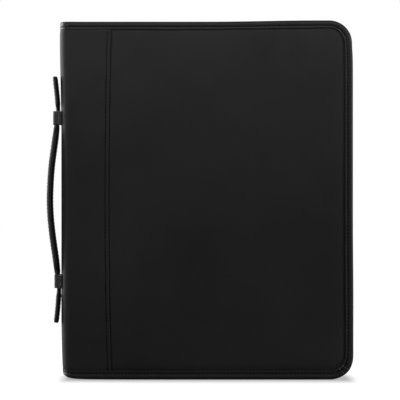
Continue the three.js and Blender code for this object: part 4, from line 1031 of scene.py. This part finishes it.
# How far use has pushed the strap outwards at heights from its middle, both in mm
STRAP_SET = (
    (-119, -1.0), (-83, -1.1), (-72, 0.0), (8, 0.0), (40, 0.65), (76, 0.75), (86, -0.25), (119, 0.2),
)


def strap_set(height):
    for (low, before), (high, after) in zip(STRAP_SET, STRAP_SET[1:]):
        if height <= high * MM:
            break
    return MM * (before + (after - before) * smooth((height / MM - low) / (high - low)))


def strap_offset(height):
    """How far the strap's middle stands out from the spine."""
    away = abs(height)
    if away < KEEPER_CENTRE:
        share = (1 + cos(pi * away / KEEPER_CENTRE)) / 2
        return KEEPER_OFFSET + (ARCH_OFFSET - KEEPER_OFFSET) * share**0.75 + strap_set(height)
    share = (away - KEEPER_CENTRE) / (STRAP_END - KEEPER_CENTRE)
    return KEEPER_OFFSET + (TAIL_OFFSET - KEEPER_OFFSET) * share**1.7 + strap_set(height)


def strap_half_width(away):
    """The strap narrows to its neck before the keeper, and widens to its tail beyond it."""
    narrowing = smooth((away - 62 * MM) / (7 * MM))
    widening = smooth((away - KEEPER_CENTRE - KEEPER_HALF - 4.2 * MM) / (2.4 * MM))
    width = STRAP_HALF_WIDTH + (NECK_HALF_WIDTH - STRAP_HALF_WIDTH) * (narrowing - widening)
    corner = max(away - (STRAP_END - TAIL_CORNER), 0.0)
    return width - TAIL_CORNER + sqrt(max(TAIL_CORNER**2 - corner**2, 0.0))


def strap_half_thickness(away):
    thinning = smooth((away - 69 * MM) / (5 * MM))
    thickening = smooth((away - KEEPER_CENTRE - KEEPER_HALF - 4 * MM) / (2 * MM))
    neck = STRAP_HALF_THICKNESS + (NECK_HALF_THICKNESS - STRAP_HALF_THICKNESS) * thinning
    return neck + (TAIL_HALF_THICKNESS - NECK_HALF_THICKNESS) * thickening


def strap_place(height, step=0.0):
    """The strap's middle a step above a height."""
    return Vector((SPINE_X - strap_offset(height + step), 0, STRAP_MIDDLE_Z + height + step))


def strap_frame(height):
    """The strap's middle at a height, and its way out."""
    small = 0.2 * MM
    along = (strap_place(height, small) - strap_place(height, -small)).normalized()
    return strap_place(height), Vector((-along.z, 0, along.x))


def strap_section(half_width, half_thickness):
    """Two layers of leather in section, (out, across) points round the loop, with a groove between them."""
    t = half_thickness
    w = half_width
    quarter = [
        (t, 0.0), (t, w * 0.35), (t, w * 0.6), (t - 0.05 * MM, w - 3.2 * MM), (t - 0.26 * MM, w - 2.6 * MM),
        (t - 0.16 * MM, w - 2.1 * MM), (t * 0.86, w - 1.5 * MM), (t * 0.69, w - 0.85 * MM),
        (t * 0.5, w - 0.38 * MM), (t * 0.36, w - 0.12 * MM), (t * 0.24, w), (t * 0.16, w - 0.15 * MM),
        (0.25 * MM, w - 0.5 * MM), (0.14 * MM, w - 1.2 * MM),
    ]
    right = quarter + [(-out, across) for out, across in reversed(quarter)]
    left = [(out, -across) for out, across in reversed(right)]
    return right + left[1:-1]


def strap_piece(name, start, end):
    """A stretch of the strap; one that reaches the strap's end gets rounded corners there."""
    heights = evenly(start, end, round(abs(end - start) / STRAP_STEP))
    if abs(end) > STRAP_END - TAIL_CORNER:
        sign = copysign(1, end)
        round_end = [STRAP_END - TAIL_CORNER * (1 - sin(pi / 2 * i / 10)) for i in range(11)]
        heights = [height for height in heights if abs(height) < STRAP_END - TAIL_CORNER]
        heights += [sign * height for height in round_end]
    rows = []
    for height in heights:
        place, out = strap_frame(height)
        away = abs(height)
        rounding = 0.7 + 0.3 * smooth((STRAP_END - away) / (0.8 * MM))
        section = strap_section(strap_half_width(away), strap_half_thickness(away) * rounding)
        rows.append([place + out * u + Vector((0, v, 0)) for u, v in section])
    piece = sheet_from_rows(name, rows, STRAP_LEATHER, closed=True)
    face_outwards(piece)
    return smooth_over(piece, 40)


def strap_stitches(name, start, end):
    """Two rows of stitches on each face of the strap."""
    places = []
    count = int(abs(end - start) / STITCH_PITCH)
    for face, edge in ((1, 1), (1, -1), (-1, 1), (-1, -1)):
        points = []
        outs = []
        for i in range(count):
            height = start + (end - start) * (i + 0.5) / count
            place, out = strap_frame(height)
            across = strap_half_width(abs(height)) - 2.6 * MM
            lift = strap_half_thickness(abs(height)) - 0.24 * MM
            points.append(place + out * (face * lift) + Vector((0, edge * across, 0)))
            outs.append(out * face)
        places += stitches_along(points, outs)
    return stitch_line(name, places, STRAP_THREAD)


def make_keeper(name, node):
    """A leather loop over the strap's neck, its flanges sewn flat to the spine."""
    low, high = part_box(node)
    low_z = low.z + STRAP_MIDDLE_Z - MIDDLE_Z
    high_z = high.z + STRAP_MIDDLE_Z - MIDDLE_Z
    middle_z = (low_z + high_z) / 2
    spine_x = SPINE_X + spine_lean(middle_z)
    reach = spine_x - low.x + strap_set(middle_z - STRAP_MIDDLE_Z)
    wall = KEEPER_WALL
    half = KEEPER_HALF_WIDTH
    foot = high.y
    path = [(wall, y) for y in evenly(-foot, -half - 1.4 * MM, 5)]
    path += [(wall + 0.5 * MM, -half - 0.45 * MM), (wall + 1.3 * MM, -half)]
    path += [(out, -half) for out in evenly(wall + 2.2 * MM, reach - 2.6 * MM, 3)]
    path += [(reach - 1.9 * MM, -half + 0.15 * MM), (reach - 1.2 * MM, -half + 0.5 * MM)]
    path += [(reach - 0.65 * MM, -half + 1.05 * MM), (reach - 0.25 * MM, -half + 1.8 * MM)]
    path += [(reach, y) for y in evenly(-half + 2.8 * MM, 0, 4)]
    path += [(out, -y) for out, y in reversed(path[:-1])]
    rows = []
    for z in spaced(low_z, high_z, 0.35 * MM, 1.0 * MM, 1.8 * MM):
        edge = min(z - low_z, high_z - z)
        drawn = 1 - 0.035 * press(edge, 0.4 * MM) - 0.02 * dent(edge - 2.1 * MM, 0.45 * MM)
        row = []
        for out, y in path:
            crease = 0.07 * MM * sin(z * 2600 + y * 180)
            row.append(Vector((spine_x + spine_bulge(y) - out * drawn + crease, y * drawn, z)))
        rows.append(row)
    piece = thick_sheet(name, rows, STRAP_LEATHER, wall - 0.2 * MM, -RIGHT)
    heights = evenly(low_z + 1.8 * MM, high_z - 1.8 * MM, 3)
    places = []
    for y in (foot - 1.8 * MM, half + 2.6 * MM):
        for sign in (1, -1):
            line = [Vector((spine_x + spine_bulge(y) - wall, sign * y, z)) for z in heights]
            places += stitches_along(line, -RIGHT)
    return piece, stitch_line(f"{name}_stitches", places, STRAP_THREAD)


# Rings

RING_GAP = 0.15 * MM


def make_half_ring(name, node, side):
    """Half a ring of round wire, from its leaf to the middle."""
    low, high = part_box(node)
    z = (low.z + high.z) / 2
    wire = (high.z - low.z) / 2
    radius = max(abs(low.y), abs(high.y)) - wire
    centre_x = high.x - wire - radius
    foot = acos(max(-1.0, (low.x - centre_x) / radius))
    turn = -side * (foot - RING_GAP / radius)
    bpy.ops.object.select_all(action="DESELECT")
    start = (centre_x + radius, side * RING_GAP, z)
    bpy.ops.mesh.primitive_circle_add(
        vertices=20, radius=wire, fill_type="NGON", location=start, rotation=(pi / 2, 0, 0)
    )
    piece = bpy.context.object
    piece.name = name
    bpy.ops.object.transform_apply(location=True, rotation=True, scale=True)
    edit_all(piece)
    bpy.ops.mesh.spin(steps=28, angle=turn, center=(centre_x, 0, z), axis=(0, 0, 1))
    bpy.ops.object.mode_set(mode="OBJECT")
    piece.data.materials.append(CHROME)
    face_outwards(piece)
    return smooth_over(piece, 50)


# The whole binder


def build_cover(name, side):
    body = f"{name}_cover"
    panel = make_panel(f"{name}_panel", side)
    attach(panel, body)
    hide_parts(f"{name}_leather", f"{name}_padding")
    wrap = make_wrap(f"{name}_wrap", side)
    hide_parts(f"{name}_spine_flap", "spine_leather")
    across_hinge(wrap)
    binding = make_binding(f"{name}_edge_binding", side)
    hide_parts(f"{name}_binding", "spine_binding_top", "spine_binding_bottom")
    across_hinge(binding)
    across_hinge(binding_stitches(f"{name}_binding_stitches", side))
    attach(seam_stitches(f"{name}_seam_stitches", side), body)
    lining = make_lining(f"{name}_inner_lining", side)
    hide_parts(f"{name}_lining", "spine_lining")
    across_hinge(lining)


def build_zip_wall(name, side):
    body = f"{name}_cover"
    gusset, threads = make_gusset(f"{name}_wall", side)
    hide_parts(f"{name}_gusset")
    tape = make_tape(f"{name}_tape", side)
    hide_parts(f"{name}_zip_tape")
    for piece in (gusset, threads, tape):
        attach(piece, body)
    for end in ("bottom", "top"):
        tab = make_end_tab(f"{name}_end_tab_{end}", f"{name}_zip_end_tab_{end}")
        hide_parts(f"{name}_zip_end_tab_{end}")
        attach(tab, body)


def build_interior():
    board = make_spine_board("spine_stiffener")
    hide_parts("spine_board")
    pieces = [(board, "spine")]
    pocket, threads = make_pocket("document_pocket_panel", "document_pocket", FRONT, LINING_CLOTH)
    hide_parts("document_pocket")
    pieces += [(pocket, "front_cover"), (threads, "front_cover")]
    pocket, threads = make_pocket("pad_pocket_panel", "pad_pocket", BACK, INNER_LEATHER)
    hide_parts("pad_pocket")
    pieces += [(pocket, "back_cover"), (threads, "back_cover")]
    for i in (1, 2, 3):
        slot, threads = make_card_slot(f"card_pocket_{i}", f"card_slot_{i}", FRONT)
        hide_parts(f"card_slot_{i}")
        pieces += [(slot, "front_cover"), (threads, "front_cover")]
    loop = make_pen_loop("pen_holder", BACK)
    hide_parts("pen_loop")
    pieces.append((loop, "back_cover"))
    for name, side in SIDES:
        for i in (1, 2, 3):
            ring = make_half_ring(f"ring_{name}_{i}", f"half_ring_{name}_{i}", side)
            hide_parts(f"half_ring_{name}_{i}")
            pieces.append((ring, f"ring_{name}"))
    for piece, body in pieces:
        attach(piece, body)


def build_handle():
    for name, sign in ENDS:
        split = sign * STRAP_SPLIT
        inner = strap_piece(f"strap_{name}_inner", 0, split)
        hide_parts("handle_grip", f"handle_leg_{name}")
        outer = strap_piece(f"strap_{name}_outer", split, sign * STRAP_END)
        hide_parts(f"handle_tail_{name}", f"handle_leg_{name}")
        inner_threads = strap_stitches(f"strap_{name}_inner_stitches", 0, split)
        outer_threads = strap_stitches(f"strap_{name}_outer_stitches", split, sign * LEG_STITCH_END)
        tail_end = sign * (STRAP_END - 2 * MM)
        tail_threads = strap_stitches(f"strap_{name}_tail_stitches", sign * TAIL_STITCH_START, tail_end)
        for pieces, bend, bodies in (
            ((inner, inner_threads), GRIP_BEND, ("grip", f"leg_{name}")),
            ((outer, outer_threads, tail_threads), LEG_BEND, (f"leg_{name}", f"tail_{name}")),
        ):
            for piece in pieces:
                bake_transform(piece)
        keeper, threads = make_keeper(f"keeper_{name}", f"handle_keeper_{name}")
        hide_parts(f"handle_keeper_{name}")
        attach(keeper, "spine")
        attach(threads, "spine")


for name, side in SIDES:
    build_cover(name, side)
    build_zip_wall(name, side)
build_interior()
build_handle()


# Floor, backdrop, light and camera

FLOOR_SIZE = 30
FLOOR_DROP = 0.2 * MM
FLOOR_GREY = (0.3, 0.3, 0.3)
# The floor's white glow to the camera is weakest next to the binder's footprint and full further off. This
# is a painted shade round the binder's foot, on top of its real shadow. The reach is the distance over which
# that painted shade fades, and the side fall makes it fade faster beside the binder's ends.
FLOOR_GLOW_WITH_PAINTED_SHADE = (0.4, 1.0)
PAINTED_SHADE_REACH = (0.005, 0.08)
PAINTED_SHADE_SIDE_FALL = 6.0
GLOSSY_SHARE = 0.12
WORLD_GREY = 0.07
SENSOR_WIDTH = 36
PIXEL = 0.95757 * MM
IMAGE_WIDTH = 400
VIEW_X = 0.79 * MM
VIEW_Z = 172.15 * MM
CAMERA_DISTANCE = 3.0
# Each lamp's place, aim, width, height and power
LIGHTS = {
    "top_light": ((0, -0.2, 0.45), (0, -0.03, 0.28), 1.2, 0.1, 1.15),
    "front_light": ((0, -2.5, 0.2), (0, 0, 0.12), 1.0, 1.0, 6.4),
    "right_light": ((1.4, -0.42, 0.25), (0, 0, 0.15), 0.4, 1.0, 14),
    "left_light": ((-0.94, 1.0, 0.4), (-0.13, 0, 0.15), 0.8, 1.1, 12.5),
    "left_fill": ((-0.8, -0.3, 0.3), (-0.13, 0, 0.2), 0.3, 0.6, 1.8),
}


def seen_share(tree):
    """1 for what the camera sees, a small share for what gloss reflects and 0 for all other rays."""
    rays = tree.nodes.new("ShaderNodeLightPath").outputs
    seen = math_node(tree, "MAXIMUM", rays["Is Camera Ray"], rays["Is Transmission Ray"])
    shine = math_node(tree, "MULTIPLY", rays["Is Glossy Ray"], GLOSSY_SHARE)
    return math_node(tree, "MAXIMUM", seen, shine)


def make_floor():
    """A pale floor that keeps the binder's real shadow. Its glow to the camera is dimmed near the binder as
    a painted shade round its foot, and turns plain white further off.
    """
    bpy.ops.mesh.primitive_plane_add(size=FLOOR_SIZE, location=(0, 0, -FLOOR_DROP))
    floor = bpy.context.object
    floor.name = "floor"
    material, tree, shader = new_material("floor_white", FLOOR_GREY, 0.9, specular=0.0)
    parts = add_node(tree, "ShaderNodeSeparateXYZ", Vector=object_place(tree)).outputs
    middle_x = (SPINE_X + EDGE_X) / 2
    half_x = (EDGE_X - SPINE_X) / 2 - 6 * MM
    sides = (("X", middle_x, half_x, PAINTED_SHADE_SIDE_FALL), ("Y", 0.0, HALF_THICKNESS, 1.0))
    squares = []
    for axis, middle, half, share in sides:
        off = math_node(tree, "ABSOLUTE", math_node(tree, "SUBTRACT", parts[axis], middle))
        beside = math_node(tree, "MAXIMUM", math_node(tree, "SUBTRACT", off, half), 0.0)
        squares.append(math_node(tree, "POWER", math_node(tree, "MULTIPLY", beside, share), 2.0))
    away = math_node(tree, "SQRT", math_node(tree, "ADD", *squares))
    # Painted shade: the floor's glow is dimmed close to the binder's footprint
    glow_with_painted_shade = math_node(tree, "MULTIPLY", ranged(tree, away, *FLOOR_GLOW_WITH_PAINTED_SHADE, *PAINTED_SHADE_REACH), seen_share(tree))
    fill(tree, shader, Emission_Color=(1, 1, 1, 1), Emission_Strength=glow_with_painted_shade)
    floor.data.materials.append(material)


def area_light(name, place, aim, width, height, power):
    bpy.ops.object.light_add(type="AREA", location=place)
    lamp = bpy.context.object
    lamp.name = name
    lamp.data.shape = "RECTANGLE"
    lamp.data.size = width
    lamp.data.size_y = height
    lamp.data.energy = power
    lamp.rotation_euler = (Vector(aim) - Vector(place)).to_track_quat("-Z", "Y").to_euler()


def make_world():
    """White to the camera and a plain grey to everything else."""
    world = bpy.data.worlds.new("studio")
    bpy.context.scene.world = world
    world.use_nodes = True
    tree = world.node_tree
    strength = math_node(tree, "MAXIMUM", seen_share(tree), WORLD_GREY)
    fill(tree, tree.nodes["Background"], Color=(1, 1, 1, 1), Strength=strength)


def make_camera():
    place = (VIEW_X, -HALF_THICKNESS - CAMERA_DISTANCE, VIEW_Z)
    bpy.ops.object.camera_add(location=place, rotation=(pi / 2, 0, 0))
    camera = bpy.context.object
    camera.data.sensor_width = SENSOR_WIDTH
    camera.data.lens = SENSOR_WIDTH * CAMERA_DISTANCE / (IMAGE_WIDTH * PIXEL)
    camera.data.clip_end = 60
    bpy.context.scene.camera = camera


bpy.context.scene.view_settings.view_transform = "Standard"
make_floor()
make_world()
for name, setting in LIGHTS.items():
    area_light(name, *setting)
make_camera()
